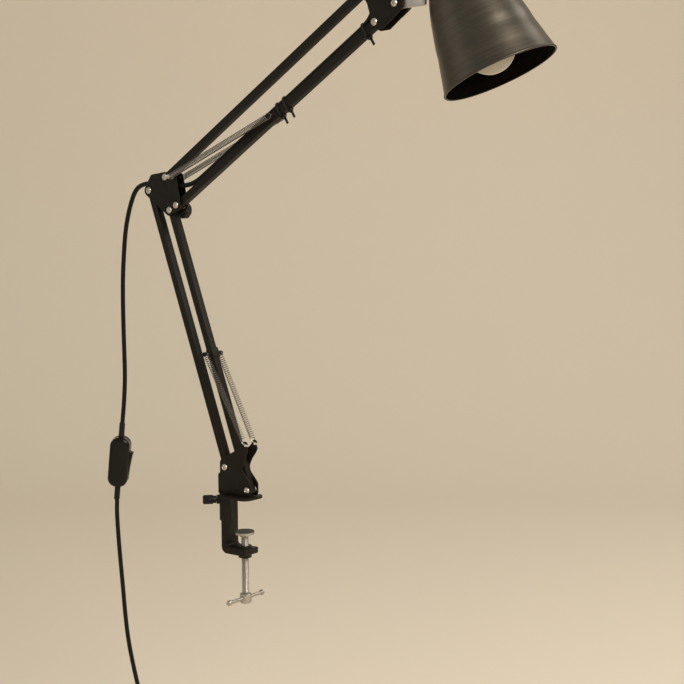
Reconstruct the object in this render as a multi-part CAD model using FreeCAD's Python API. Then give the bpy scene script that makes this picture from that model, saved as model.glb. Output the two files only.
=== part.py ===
import FreeCAD, Part
import math
import os
from FreeCAD import Vector as V

# Clamp-on balanced-arm desk lamp. Millimetres, +Z up. The origin is the middle of the
# face of the clamp's upper jaw that rests on the desk. The arms reach along +X, and
# every pivot bolt lies along Y, with its round head on the -Y side.

# ---- Driving dimensions -------------------------------------------------------------

# Arms: two square tubes each, between round pivots
BAR = 10.0                # side of the square tube
BAR_WALL = 1.0
BAR_END = 6.2             # how far a bar reaches past its pivot, as an arc
ARM_LENGTH = 400.0        # lower arm, pivot to pivot
ARM_LEAN = 109.9          # lower arm at rest, degrees up from +X
FORE_LENGTH = 400.0       # upper arm, pivot to pivot
FORE_RISE = 32.1          # upper arm at rest, degrees up from +X
BAR_HOLE_R = 3.2          # hole in the tube's side, clear of the bolt
PLUG_DEPTH = 14.0         # how far an end plug reaches in from its pivot
PLUG_GAP = 0.1            # between a plug and the tube's inner wall

# Pivots, as (x, z) steps from one to the next
BASE_PIVOT = (-28.4, 39.9)       # rear pivot in the yoke
LOWER_STEP = (39.7, -27.7)       # rear to front pivot, in the yoke and in the elbow
ELBOW_TOP_STEP = (32.0, 17.6)    # rear pivot of the elbow to the upper arm's top bar
UPPER_STEP = (20.4, -38.8)       # top to bottom bar, in the elbow and in the head
TILT_STEP = (29.5, 18.9)         # head's lower pivot to the shade's tilt pivot

# Side plates
PLATE = 1.6
WASHER = 1.0
WASHER_R = 5.0
SIDE_GAP = 0.2            # between a bar and the washer beside it
PLATE_IN = BAR / 2 + SIDE_GAP + WASHER
PLATE_OUT = PLATE_IN + PLATE

# Pivot bolts
BOLT_R = 2.5
BOLT_RUN = 0.05           # running clearance round a bolt
HEAD_R = 4.75
HEAD_H = 3.0
SOCKET_AF = 3.0
NUT_AF = 8.0
NUT_H = 4.8
BOLT_TAIL = 1.2           # thread that stands past the nut

# Yoke
YOKE_FLOOR_Z = 3.6        # underside of the yoke's floor
YOKE_FLOOR = 1.8
YOKE_REAR = -40.5
HOOK_EYE = (11.0, 74.2)   # middle of the curled hook that holds a spring
HOOK_R = 4.9
HOOK_HOLE_R = 2.4
HOOK_SPLAY = 2.6          # how far the hook stands out from the plate
HOOK_SLOT = 2.6

# Post and clamp
POST_X = -33.0
POST_R = 5.0
POST_BOTTOM = -36.0
POST_RIVET_R = 5.0
POST_RIVET = 2.0
BUSH = 1.4                # wall of the bush round the post
BUSH_FLANGE = 0.4
JAW_THICK = 3.0
JAW_REAR = -24.0          # the desk's edge comes up to here
JAW_FRONT = 21.0
JAW_WIDTH = 46.0
SPINE = 7.0
SPINE_WIDTH = 26.0
JAW_OPEN = 68.0           # upper jaw to lower arm
LOWER_ARM_THICK = 9.0
LOWER_ARM_FRONT = 12.0
SOCKET_R = 9.5            # socket round the bush
SCREW_R = 5.0
SCREW_RUN = 0.05
DESK_THICK = 45.0         # the clamp is set to a desk top of this thickness
PAD_R = 13.0
PAD_THICK = 4.0
PAD_FACE = 1.5
SCREW_LENGTH = 80.0
SCREW_HEAD_R = 8.0
SCREW_HEAD = 14.0
TOMMY_R = 2.5
TOMMY_LENGTH = 64.0
LOCK_Z = -5.5             # axis of the screw that locks the post
LOCK_TURN = -45.0         # its heading about the post, from -Y towards -X
LOCK_R = 3.0
LOCK_KNOB_R = 6.3
LOCK_COLLAR_END = 13.0
LOCK_KNOB_GAP = 0.4
LOCK_KNOB_END = 32.0
KNURLS = 18

# Springs
WIRE_R = 0.6
SPRING_R = 3.4            # middle of the wire from the spring's axis
STUD_R = 2.0
STUD_Y = 13.5             # the springs' middle plane at the studs
STUD_END = 17.0
STUD_HEAD_R = 3.2
STUD_HEAD = 1.2
LOWER_SPRING_AT = 192.0   # along the front bar from its yoke pivot
UPPER_SPRING_AT = 208.0   # along the bottom bar from its elbow pivot
ELBOW_STUD_STEP = (15.55, -0.12)     # the elbow's upper pivot to its studs
LOWER_TURNS = 21
UPPER_TURNS = 27
SADDLE = 1.3
SADDLE_LENGTH = 14.0

# Elbow knob
KNOB_R = 12.0
KNOB_START = 14.0         # y of the knob's inner face
KNOB_THICK = 13.0
KNOB_LOBES = 8

# Head, bracket and shade
HEAD_KNOB_TURN = -50.0    # the wing knob at rest, degrees down from +X
HUB_R = 7.0
BRACKET_T = 4.0
BRACKET_H = 12.0
BRACKET_CORNER = 34.3     # from the tilt pivot to the middle of the upright
SHADE_TILT = -22.5        # shade's axis from upright, about Y, at rest
SHADE_ROLL = 7.3          # then its lean towards -Y, about the swivel bolt
SWIVEL_STEP = (68.9, 55.52)   # tilt pivot to where the swivel bolt's line meets the shade's axis
SWIVEL_UP = 158.0         # from the mouth to that point, along the shade's axis
MOUTH_R = 69.0
BELL_MIDDLE = (57.3, 54.0)     # (radius, height over the mouth) halfway up the bell
BELL_SHOULDER = (41.7, 110.0)  # where the bell starts to close in
BELL_TURN = (35.6, 125.0)      # halfway from there to the neck
SHADE_WALL = 1.0
LIP_R = 1.3
NECK_R = 27.0
NECK_UP = 139.0
CAP_R = 25.0
CAP_WALL = 1.4
CAP_TOP = 183.0
GLAND_RISE = 20.0
HOLDER_R = 19.0
BULB_RUN = 0.3            # between the bulb's cap and the lampholder
HOLDER_MOUTH = 74.0
HOLDER_RISE = 22.0        # top of the lampholder above the neck
CORD_OVER = 40.0          # how far past the cap's top the cord starts to bend over
BULB_R = 30.0
BULB_UP = 31.0
BULB_NECK_R = 12.9
BULB_WALL = 1.0
BULB_CAP_R = 13.2
BULB_CAP_START = 77.0
BULB_CAP_END = 103.0
SWIVEL_PAD = 3.2
SWIVEL_GAP = 0.3
SWIVEL_BOSS = 8.0
SWIVEL_R = 7.0

# Cord
CORD_R = 3.25
CORD_LIFT = BAR / 2 + CORD_R + 0.15      # cord's axis above the bar's
CORD_FIRST_AT = 76.0
CORD_LETS_GO = 30.0       # before the head's lower pivot it leaves the bar
CORD_LIFTS_AT = 62.0      # below here the cord leaves the bar for the elbow
CORD_RISES = 7.0          # before the head's lower pivot it turns up between the plates
TIE_AT = (218.5, 232.0, FORE_LENGTH - 19.0)
TIE_WIDTH = 3.0
TIE_THICK = 1.0
TIE_TAIL = 9.0
CORD_RUN = 0.45           # share of the shorter run that each arc takes

# The cord's route, point by point, as (x, y, z) steps from the head's lower pivot for the
# loop over the head, and from the elbow's rear pivot for all the rest
HEAD_STEPS = [
    (-5.7, 0.0, 22.63), (-5.1, -1.0, 54.63), (-4.2, -3.0, 93.63),
    (3.8, -5.0, 128.63), (37.3, -7.0, 147.13),
]
ELBOW_STEPS = [
    (86.55, 0.0, 10.58), (72.55, 0.0, 6.58), (57.55, 0.0, 5.78), (38.55, 0.0, 5.78),
    (21.55, 0.0, 6.28), (7.55, 0.0, 8.58), (-3.45, 0.0, 10.78),
]
LEAVES_STEP = (-14.95, 0.0, 9.38)
HANG_STEPS = [
    (-26.45, 0.0, 7.38), (-38.45, 1.5, -2.52), (-48.95, 5.0, -15.52), (-61.45, 10.5, -32.02),
    (-76.95, 18.5, -57.02), (-91.45, 28.0, -90.02), (-103.45, 36.0, -126.02),
    (-111.05, 42.0, -170.02), (-113.45, 44.6, -220.02), (-112.85, 45.0, -272.02), (-116.45, 45.0, -313.02),
]
SWITCH_TOP_STEP = (-124.05, 45.0, -365.02)
SWITCH_BOTTOM_STEP = (-134.45, 45.0, -441.02)
FALL_STEPS = [
    (-136.45, 45.0, -508.02), (-132.95, 45.0, -550.02), (-128.45, 45.2, -594.02),
    (-124.45, 45.0, -638.02), (-118.45, 44.8, -679.02), (-108.45, 45.0, -718.02),
]

# Switch
SWITCH_DEEP = 30.0        # from its back to the rocker's face
SWITCH_WIDE = 25.0
SWITCH_END_R = 13.5       # rounding of its ends
SWITCH_SIDE_R = 5.0       # rounding of its sides
SWITCH_FACES = 37.7       # heading of the rocker's face, degrees from +X to +Y
RELIEF = 22.0
CORD_IN_SWITCH = 10.0     # how far the cord reaches into the switch
ROCKER_LENGTH = 44.0
ROCKER_DROP = 4.0         # how far it sits below the middle of the switch
ROCKER_RISE = 6.0         # how far its upper end stands out
ROCKER_WIDE = 11.0
ROCKER_PIVOT = 4.5        # its pins lie this far under the rocker's face
ROCKER_PIN_R = 1.5
ROCKER_PIN = 1.6          # how far each pin stands out of the rocker
ROCKER_GAP = 0.4

# Coil of spare cord and its plug
COIL_IN_STEP = (-82.95, 45.0, -797.02)    # where the cord runs into the coil
COIL_IN_ANGLE = 198.0
COIL_OUTER_R = 43.5
COIL_STEP = 7.3           # middle to middle of neighbouring turns
COIL_QUARTERS = 20
PLUG_LENGTH = 36.0
PLUG_WIDE = 26.0
PLUG_DEEP = 13.6
PIN_R = 2.0
PIN_LENGTH = 19.0
PIN_SPACING = 18.6

# ---- Places worked out from the dimensions --------------------------------------------


def step(point, move):
    return (point[0] + move[0], point[1] + move[1])


def along(angle):
    return (math.cos(math.radians(angle)), math.sin(math.radians(angle)))


def on_bar(pivot, angle, distance, lift=0.0):
    c, s = along(angle)
    return (pivot[0] + distance * c - lift * s, pivot[1] + distance * s + lift * c)


BASE_REAR = BASE_PIVOT
BASE_FRONT = step(BASE_REAR, LOWER_STEP)
ELBOW_REAR = on_bar(BASE_REAR, ARM_LEAN, ARM_LENGTH)
ELBOW_FRONT = on_bar(BASE_FRONT, ARM_LEAN, ARM_LENGTH)
ELBOW_TOP = step(ELBOW_REAR, ELBOW_TOP_STEP)
ELBOW_LOW = step(ELBOW_TOP, UPPER_STEP)
HEAD_TOP = on_bar(ELBOW_TOP, FORE_RISE, FORE_LENGTH)
HEAD_LOW = on_bar(ELBOW_LOW, FORE_RISE, FORE_LENGTH)
TILT_PIVOT = step(HEAD_LOW, TILT_STEP)
LOWER_STUD = on_bar(BASE_FRONT, ARM_LEAN, LOWER_SPRING_AT)
UPPER_STUD = on_bar(ELBOW_LOW, FORE_RISE, UPPER_SPRING_AT)
ELBOW_STUD = step(ELBOW_TOP, ELBOW_STUD_STEP)
SWIVEL = step(TILT_PIVOT, SWIVEL_STEP)


def past(pivot, move):
    return (pivot[0] + move[0], move[1], pivot[1] + move[2])


HEAD_ROUTE = [past(HEAD_LOW, move) for move in HEAD_STEPS]
ELBOW_ROUTE = [past(ELBOW_REAR, move) for move in ELBOW_STEPS]
LEAVES_ELBOW = past(ELBOW_REAR, LEAVES_STEP)
HANG_ROUTE = [past(ELBOW_REAR, move) for move in HANG_STEPS]
SWITCH_TOP = past(ELBOW_REAR, SWITCH_TOP_STEP)
SWITCH_BOTTOM = past(ELBOW_REAR, SWITCH_BOTTOM_STEP)
FALL_ROUTE = [past(ELBOW_REAR, move) for move in FALL_STEPS]
COIL_IN = past(ELBOW_REAR, COIL_IN_STEP)

# ---- Shape helpers ----------------------------------------------------------------------

UP = V(0, 0, 1)
ACROSS = V(0, 1, 0)


def at(point, y=0.0):
    return V(point[0], y, point[1])


def aimed(shape, direction, origin):
    """Turns a shape made along +Z to point along direction, and moves it to origin."""
    turn = FreeCAD.Rotation(UP, V(*direction))
    shape.Placement = FreeCAD.Placement(V(*origin), turn).multiply(shape.Placement)
    return shape


def cylinder(r, a, b):
    a, b = V(*a), V(*b)
    return Part.makeCylinder(r, (b - a).Length, a, b - a)


def pipe(outer, inner, a, b):
    return cylinder(outer, a, b).cut(cylinder(inner, a, b))


def block(low, high):
    size = V(*high) - V(*low)
    return Part.makeBox(size.x, size.y, size.z, V(*low))


def hexagon(across_flats, height, start=0.0):
    r = across_flats / math.sqrt(3)
    corners = [V(r * math.cos(k * math.pi / 3), r * math.sin(k * math.pi / 3), start)
               for k in range(7)]
    return Part.Face(Part.makePolygon(corners)).extrude(UP * height)


def arc(a, middle, b):
    return Part.Arc(a, middle, b).toShape()


def rounded(corners):
    """An outline through (x, z, radius) corners, each rounded to its radius."""
    points = [V(x, 0, z) for x, z, _ in corners]
    edges, count = [], len(corners)
    starts, ends = [], []
    for k in range(count):
        here = points[k]
        back = (points[k - 1] - here).normalize()
        on = (points[(k + 1) % count] - here).normalize()
        half = back.getAngle(on) / 2
        reach = corners[k][2] / math.tan(half)
        a, b = here + back * reach, here + on * reach
        to_middle = (back + on).normalize()
        middle = here + to_middle * (corners[k][2] / math.sin(half) - corners[k][2])
        edges.append(arc(a, middle, b))
        starts.append(a)
        ends.append(b)
    out = []
    for k in range(count):
        out.append(edges[k])
        nxt = starts[(k + 1) % count]
        if (nxt - ends[k]).Length > 1e-6:
            out.append(Part.LineSegment(ends[k], nxt).toShape())
    return Part.Wire(Part.__sortEdges__(out))


def hull(circles):
    """The outline drawn tight round (x, z, radius) circles, given clockwise."""
    count = len(circles)
    normals = []
    for k in range(count):
        x0, z0, r0 = circles[k]
        x1, z1, r1 = circles[(k + 1) % count]
        run = math.hypot(x1 - x0, z1 - z0)
        normals.append(math.atan2(z1 - z0, x1 - x0) + math.acos((r0 - r1) / run))
    edges = []
    for k in range(count):
        x, z, r = circles[k]
        start, stop = normals[k - 1], normals[k]
        while stop > start:
            stop -= 2 * math.pi
        ring = [V(x + r * math.cos(t), 0, z + r * math.sin(t))
                for t in (start, (start + stop) / 2, stop)]
        edges.append(arc(*ring))
        x1, z1, r1 = circles[(k + 1) % count]
        end = V(x1 + r1 * math.cos(normals[k]), 0, z1 + r1 * math.sin(normals[k]))
        edges.append(Part.LineSegment(ring[2], end).toShape())
    return Part.Wire(Part.__sortEdges__(edges))


def sheet(outline, y0, y1):
    face = Part.Face(outline)
    face.translate(V(0, y0, 0))
    return face.extrude(V(0, y1 - y0, 0))


def lathe(profile, origin=(0, 0, 0), direction=(0, 0, 1)):
    """Turns a closed list of (radius, height) points about its axis."""
    points = [V(r, 0, h) for r, h in profile]
    face = Part.Face(Part.makePolygon(points + points[:1]))
    return aimed(face.revolve(V(0, 0, 0), UP, 360), direction, origin)


def tangent_arc(a, corner, b):
    """The arc from a to b that touches both lines through corner."""
    middle = (a + b) * 0.5
    side, half = (a - corner).Length, (a - middle).Length
    h = (middle - corner).Length
    return arc(a, corner + (middle - corner) * ((side * side - side * half) / (h * h)), b)


def biarc(p, tp, q, tq):
    """Two arcs that join p to q, leaving along tp and arriving along tq."""
    v = q - p
    t = tp + tq
    a = 2 * (1 - tp.dot(tq))
    b = 2 * v.dot(t)
    c = -v.dot(v)
    if abs(a) < 1e-9:
        reach = -c / b
    else:
        reach = (-b + math.sqrt(b * b - 4 * a * c)) / (2 * a)
    first, second = p + tp * reach, q - tq * reach
    join = (first + second) * 0.5
    return [tangent_arc(p, first, join), tangent_arc(join, second, q)]


def swept(edges, r):
    """A round wire of radius r along edges that follow on smoothly."""
    path = Part.Wire(edges)
    first = path.OrderedEdges[0]
    start = first.valueAt(first.FirstParameter)
    heading = first.tangentAt(first.FirstParameter)
    if first.Orientation == "Reversed":
        start = first.valueAt(first.LastParameter)
        heading = first.tangentAt(first.LastParameter) * -1
    ring = Part.Wire(Part.makeCircle(r, start, heading))
    return path.makePipeShell([ring], True, False)


def cord_edges(route, name):
    """Straight runs through the route's points, joined by tangent arcs."""
    points = [V(*p) for p in route]
    edges, here, radii = [], points[0], []
    for k in range(1, len(points) - 1):
        back, on = points[k - 1] - points[k], points[k + 1] - points[k]
        reach = CORD_RUN * min(back.Length, on.Length)
        turn = math.pi - back.getAngle(on)
        radii.append(round(reach / math.tan(turn / 2)))
        a = points[k] + back.normalize() * reach
        b = points[k] + on.normalize() * reach
        edges.append(Part.LineSegment(here, a).toShape())
        edges.append(tangent_arc(a, points[k], b))
        here = b
    edges.append(Part.LineSegment(here, points[-1]).toShape())
    print(name, "radii", radii)
    return edges


def cord(route, name):
    edges = cord_edges(route, name)
    solid = swept(edges, CORD_R)
    length = sum(e.Length for e in edges)
    share = solid.Volume / (math.pi * CORD_R ** 2 * length)
    print(name, "length", round(length, 1), "volume share", round(share, 4))
    return solid


def least_gap(edges, wire_r, apart):
    """The least gap between parts of a wire that lie over apart from each other along it."""
    points, run, travelled = [], [], 0.0
    for edge in edges:
        count = max(2, int(edge.Length / (wire_r * 0.8)))
        for k in range(count):
            f = k / count
            low, high = edge.FirstParameter, edge.LastParameter
            points.append(edge.valueAt(low + (high - low) * f))
            run.append(travelled + edge.Length * f)
        travelled += edge.Length
    best = 1e9
    for i, p in enumerate(points):
        for j in range(i + 1, len(points)):
            if run[j] - run[i] > apart:
                best = min(best, (p - points[j]).Length)
    return best - 2 * wire_r


# ---- Fasteners ---------------------------------------------------------------------------


def bolt(pivot, tail):
    """A dome-headed bolt along +Y from the near plate, with a hexagon socket."""
    x, z = pivot
    y = -PLATE_OUT
    shank = cylinder(BOLT_R, (x, y, z), (x, tail, z))
    dome = Part.makeSphere(HEAD_R * 1.15, V(x, y - HEAD_H + HEAD_R * 1.15, z))
    head = cylinder(HEAD_R, (x, y - HEAD_H, z), (x, y, z)).common(dome)
    socket = aimed(hexagon(SOCKET_AF, HEAD_H * 0.6), (0, 1, 0), (x, y - HEAD_H, z))
    return shank.fuse(head).cut(socket).removeSplitter()


def nut(pivot, y):
    """A lock nut on a pivot bolt, from y outwards."""
    x, z = pivot
    collar = NUT_H * 0.3
    body = aimed(hexagon(NUT_AF, NUT_H - collar), (0, 1, 0), (x, y, z))
    ring = cylinder(NUT_AF * 0.46, (x, y, z), (x, y + NUT_H, z))
    bore = cylinder(BOLT_R + BOLT_RUN, (x, y - 1, z), (x, y + NUT_H + 1, z))
    return body.fuse(ring).cut(bore).removeSplitter()


def washers(pivot):
    x, z = pivot
    inner = BAR / 2 + SIDE_GAP
    return [pipe(WASHER_R, BOLT_R + BOLT_RUN, (x, y, z), (x, y + WASHER, z))
            for y in (inner, -inner - WASHER)]


def group(shapes):
    return Part.makeCompound(shapes)


def bolt_tail():
    return PLATE_OUT + NUT_H + BOLT_TAIL


# ---- Arms --------------------------------------------------------------------------------


def bar(pivot, angle, length):
    half = BAR / 2
    past = math.sqrt(BAR_END ** 2 - half ** 2)
    edges = [
        Part.LineSegment(V(-past, 0, -half), V(length + past, 0, -half)).toShape(),
        arc(V(length + past, 0, -half), V(length + BAR_END, 0, 0), V(length + past, 0, half)),
        Part.LineSegment(V(length + past, 0, half), V(-past, 0, half)).toShape(),
        arc(V(-past, 0, half), V(-BAR_END, 0, 0), V(-past, 0, -half)),
    ]
    tube = sheet(Part.Wire(edges), -half, half)
    inside = half - BAR_WALL
    tube = tube.cut(block((-BAR, -inside, -inside), (length + BAR, inside, inside)))
    for x in (0, length):
        tube = tube.cut(cylinder(BAR_HOLE_R, (x, -BAR, 0), (x, BAR, 0)))
    tube.rotate(V(0, 0, 0), ACROSS, -angle)
    tube.translate(at(pivot))
    return tube


def bar_plugs(pivot, angle, length):
    """The moulded plugs in a bar's two ends, which the bolts turn in."""
    half = BAR / 2 - BAR_WALL - PLUG_GAP
    made = []
    for x, way in ((0, 1), (length, -1)):
        low, high = sorted((x - way * BAR_END, x + way * PLUG_DEPTH))
        body = block((low, -half, -half), (high, half, half))
        end = cylinder(BAR_END - 0.3, (x, -BAR, 0), (x, BAR, 0))
        inner = block(*[(min(x, x + way * PLUG_DEPTH), -BAR, -BAR),
                        (max(x, x + way * PLUG_DEPTH), BAR, BAR)])
        body = body.common(end.fuse(inner))
        bearing = cylinder(BAR_HOLE_R - PLUG_GAP, (x, -BAR / 2, 0), (x, BAR / 2, 0))
        bore = cylinder(BOLT_R + BOLT_RUN, (x, -BAR, 0), (x, BAR, 0))
        body = body.fuse(bearing).cut(bore).removeSplitter()
        body.rotate(V(0, 0, 0), ACROSS, -angle)
        body.translate(at(pivot))
        made.append(body)
    return group(made)


def saddle(pivot, angle, distance, open_up):
    """A strap round three sides of a bar, with the cross-pin that holds two springs."""
    half = BAR / 2
    out = half + SADDLE
    low, high = distance - SADDLE_LENGTH / 2, distance + SADDLE_LENGTH / 2
    strap = block((low, -out, -out), (high, out, half))
    strap = strap.cut(block((low - 1, -half, -half), (high + 1, half, out)))
    if not open_up:
        strap.rotate(V(0, 0, 0), V(1, 0, 0), 180)
    pin = cylinder(STUD_R, (distance, -STUD_END, 0), (distance, STUD_END, 0))
    strap = strap.fuse(pin)
    for side in (-1, 1):
        head = cylinder(STUD_HEAD_R, (distance, side * (STUD_END - STUD_HEAD), 0),
                        (distance, side * STUD_END, 0))
        strap = strap.fuse(head)
    strap.rotate(V(0, 0, 0), ACROSS, -angle)
    strap.translate(at(pivot))
    return strap.removeSplitter()


def pin_hole(tube, point):
    x, z = point
    return tube.cut(cylinder(STUD_R, (x, -BAR, z), (x, BAR, z)))


# ---- Springs -----------------------------------------------------------------------------


def spring_path(start, end, turns, start_side, end_side):
    """A coil between two points, with a half ring at each end that hooks round them."""
    start, end = V(*start), V(*end)
    axis = (end - start).normalize()

    def square(v):
        return (v - axis * v.dot(axis)).normalize()

    n0, n1 = square(V(*start_side)), square(V(*end_side))
    b0 = axis.cross(n0)
    hooked = SPRING_R - WIRE_R
    stations = []
    # ring at the start: from its open tip round to the side where the coil begins
    c0 = start + axis * hooked
    for t in (215, 180, 90, 0):
        k = math.radians(t)
        place = c0 + n0 * (SPRING_R * math.cos(k)) - axis * (SPRING_R * math.sin(k))
        heading = n0 * math.sin(k) + axis * math.cos(k)
        stations.append((place, heading))
    lead = SPRING_R * 0.9
    c1 = end - axis * hooked
    first, last = c0 + axis * lead, c1 - axis * lead
    length = (last - first).Length
    # the coil's whole turn is chosen so that it ends a quarter turn before the end ring
    phase = math.atan2(n1.dot(b0), n1.dot(n0)) + math.pi / 2
    total = 2 * math.pi * turns + phase - math.pi / 2
    quarters = 4 * turns
    rise = length / total
    for k in range(quarters + 1):
        t = math.pi / 2 + (total - math.pi / 2) * k / quarters
        out = n0 * math.cos(t) + b0 * math.sin(t)
        heading = b0 * math.cos(t) - n0 * math.sin(t)
        place = first + axis * (rise * (t - math.pi / 2)) + out * SPRING_R
        stations.append((place, (heading * SPRING_R + axis * rise).normalize()))
    for t in (0, 90, 180, 215):
        k = math.radians(t)
        place = c1 + n1 * (SPRING_R * math.cos(k)) + axis * (SPRING_R * math.sin(k))
        heading = axis * math.cos(k) - n1 * math.sin(k)
        stations.append((place, heading))
    edges = []
    for (p, tp), (q, tq) in zip(stations, stations[1:]):
        edges += biarc(p, tp, q, tq)
    return edges


def spring(start, end, turns, start_side, end_side, name):
    edges = spring_path(start, end, turns, start_side, end_side)
    solid = swept(edges, WIRE_R)
    gap = least_gap(edges, WIRE_R, SPRING_R * 2.5)
    print(name, "least gap", round(gap, 2), "valid", solid.isValid())
    return solid


# ---- Clamp -------------------------------------------------------------------------------


def lock_turned(shape):
    """Turns a shape made along -Y from the post's axis to the lock screw's heading."""
    shape.rotate(V(POST_X, 0, 0), UP, LOCK_TURN)
    return shape


def clamp_frame():
    rear = JAW_REAR - SPINE
    bottom = -JAW_OPEN - LOWER_ARM_THICK
    outline = rounded([
        (rear, JAW_THICK, 2.5), (JAW_REAR + 12, JAW_THICK, 0.8), (JAW_REAR + 12, 0, 0.8),
        (JAW_REAR, 0, 1.5), (JAW_REAR, -JAW_OPEN, 4.0),
        (LOWER_ARM_FRONT, -JAW_OPEN, 1.5), (LOWER_ARM_FRONT, bottom, 3.0), (rear, bottom, 9.0),
    ])
    frame = sheet(outline, -SPINE_WIDTH / 2, SPINE_WIDTH / 2)
    half = JAW_WIDTH / 2
    plan = rounded([
        (JAW_REAR - 1, -half, 3.0), (JAW_REAR + 8, -half + 1.0, 5.0),
        (JAW_REAR + 20, -half + 4.0, 12.0), (JAW_FRONT, -half + 1.0, 12.0),
        (JAW_FRONT, half - 1.0, 12.0), (JAW_REAR + 20, half - 4.0, 12.0),
        (JAW_REAR + 8, half - 1.0, 5.0), (JAW_REAR - 1, half, 3.0),
    ])
    jaw = sheet(plan, 0, JAW_THICK)
    jaw.rotate(V(0, 0, 0), V(1, 0, 0), 90)
    rib = sheet(rounded([
        (rear - 6, -SOCKET_R * 3, 3.0), (rear + 2, -SOCKET_R * 3, 0.5),
        (rear + 2, bottom + 8, 0.5), (rear - 4, bottom + 12, 3.0)]), -3, 3)
    socket = cylinder(SOCKET_R, (POST_X, 0, POST_BOTTOM + 2), (POST_X, 0, JAW_THICK))
    collar = lock_turned(cylinder(LOCK_KNOB_R, (POST_X, 0, LOCK_Z), (POST_X, -LOCK_COLLAR_END, LOCK_Z)))
    boss = cylinder(9.0, (0, 0, bottom - 4), (0, 0, -JAW_OPEN + 3))
    frame = frame.fuse([jaw, rib, socket, collar, boss])
    bush_r = POST_R + BOLT_RUN + BUSH
    cuts = [
        cylinder(bush_r, (POST_X, 0, POST_BOTTOM), (POST_X, 0, JAW_THICK + 1)),
        cylinder(SCREW_R + SCREW_RUN, (0, 0, bottom - 6), (0, 0, -JAW_OPEN + 6)),
        lock_turned(cylinder(LOCK_R + SCREW_RUN, (POST_X, 0, LOCK_Z),
                             (POST_X, -LOCK_COLLAR_END - 1, LOCK_Z))),
    ]
    return frame.cut(cuts).removeSplitter()


def post_bush():
    outer = POST_R + BOLT_RUN + BUSH
    bush = lathe([
        (POST_R + BOLT_RUN, POST_BOTTOM + 2), (outer, POST_BOTTOM + 2), (outer, JAW_THICK),
        (SOCKET_R - 0.5, JAW_THICK), (SOCKET_R - 0.5, JAW_THICK + BUSH_FLANGE),
        (POST_R + BOLT_RUN, JAW_THICK + BUSH_FLANGE),
    ], (POST_X, 0, 0))
    return bush.cut(lock_turned(cylinder(LOCK_R + 0.3, (POST_X, 0, LOCK_Z), (POST_X, -SOCKET_R, LOCK_Z))))


def clamp_screw():
    top = -DESK_THICK - PAD_FACE - PAD_THICK
    neck = top + 2.2
    low = top - SCREW_LENGTH
    screw = cylinder(SCREW_R, (0, 0, low), (0, 0, top - 2.0))
    screw = screw.fuse(cylinder(3.0, (0, 0, top - 2.5), (0, 0, neck)))
    head = lathe([(0, low - SCREW_HEAD), (SCREW_HEAD_R - 2, low - SCREW_HEAD),
                  (SCREW_HEAD_R, low - SCREW_HEAD + 2), (SCREW_HEAD_R, low - 2),
                  (SCREW_HEAD_R - 2, low), (0, low)])
    middle = low - SCREW_HEAD / 2
    hole = cylinder(TOMMY_R + BOLT_RUN, (0, -20, middle), (0, 20, middle))
    return screw.fuse(head).cut(hole).removeSplitter()


def tommy_bar():
    middle = -DESK_THICK - PAD_FACE - PAD_THICK - SCREW_LENGTH - SCREW_HEAD / 2
    half = TOMMY_LENGTH / 2
    rod = cylinder(TOMMY_R, (0, -half, middle), (0, half, middle))
    for side in (-1, 1):
        cap = lathe([(0, 0), (TOMMY_R + 0.6, 0), (TOMMY_R + 1.4, 1.0), (TOMMY_R + 1.4, 4.0),
                     (TOMMY_R + 0.6, 5.0), (0, 5.0)], (0, side * (half - 2), middle), (0, side, 0))
        rod = rod.fuse(cap)
    return rod.removeSplitter()


def pressure_plate():
    top = -DESK_THICK - PAD_FACE
    return lathe([(3.2, top - PAD_THICK - 1.8), (7.0, top - PAD_THICK - 1.8),
                  (8.0, top - PAD_THICK), (PAD_R, top - PAD_THICK + 1.0), (PAD_R, top),
                  (0, top), (0, top - PAD_THICK + 2.4), (3.2, top - PAD_THICK + 2.4)])


def pad_face():
    top = -DESK_THICK
    return lathe([(0, top - PAD_FACE), (PAD_R, top - PAD_FACE), (PAD_R, top - 0.5),
                  (PAD_R - 0.5, top), (0, top)])


def lock_screw():
    tip = POST_R + BOLT_RUN + 0.3
    shank = cylinder(LOCK_R, (POST_X, -tip, LOCK_Z), (POST_X, -LOCK_KNOB_END + 4, LOCK_Z))
    start = LOCK_COLLAR_END + LOCK_KNOB_GAP
    knob = lathe([(0, start), (LOCK_KNOB_R - 1.2, start), (LOCK_KNOB_R - 1.2, start + 4),
                  (LOCK_KNOB_R, start + 5.5), (LOCK_KNOB_R, LOCK_KNOB_END - 1.5),
                  (LOCK_KNOB_R - 1.5, LOCK_KNOB_END), (0, LOCK_KNOB_END)],
                 (POST_X, 0, LOCK_Z), (0, -1, 0))
    grooves = []
    for k in range(KNURLS):
        t = 2 * math.pi * k / KNURLS
        x = POST_X + LOCK_KNOB_R * math.cos(t)
        z = LOCK_Z + LOCK_KNOB_R * math.sin(t)
        grooves.append(cylinder(0.6, (x, -start - 5, z), (x, -LOCK_KNOB_END - 1, z)))
    return lock_turned(knob.cut(grooves).fuse(shank).removeSplitter())


# ---- Yoke --------------------------------------------------------------------------------


def yoke_outline():
    x, z = HOOK_EYE
    return rounded([
        (YOKE_REAR, YOKE_FLOOR_Z, 1.0), (YOKE_REAR, 29.5, 1.5), (BASE_REAR[0] - 8.5, 32.5, 1.5),
        (BASE_REAR[0] - 8.5, BASE_REAR[1] + 9.5, 8.0), (x - 10.0, z - 5.5, 5.0), (x - 4.9, z - 1.0, 2.0),
        (x + 2.5, z - 0.5, 1.0), (x + 5.5, z - 6.5, 3.0), (1.8, 40.5, 12.0),
        (BASE_FRONT[0] + 7.5, BASE_FRONT[1] + 9.5, 7.0), (BASE_FRONT[0] + 7.5, YOKE_FLOOR_Z, 6.0),
    ])


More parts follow.
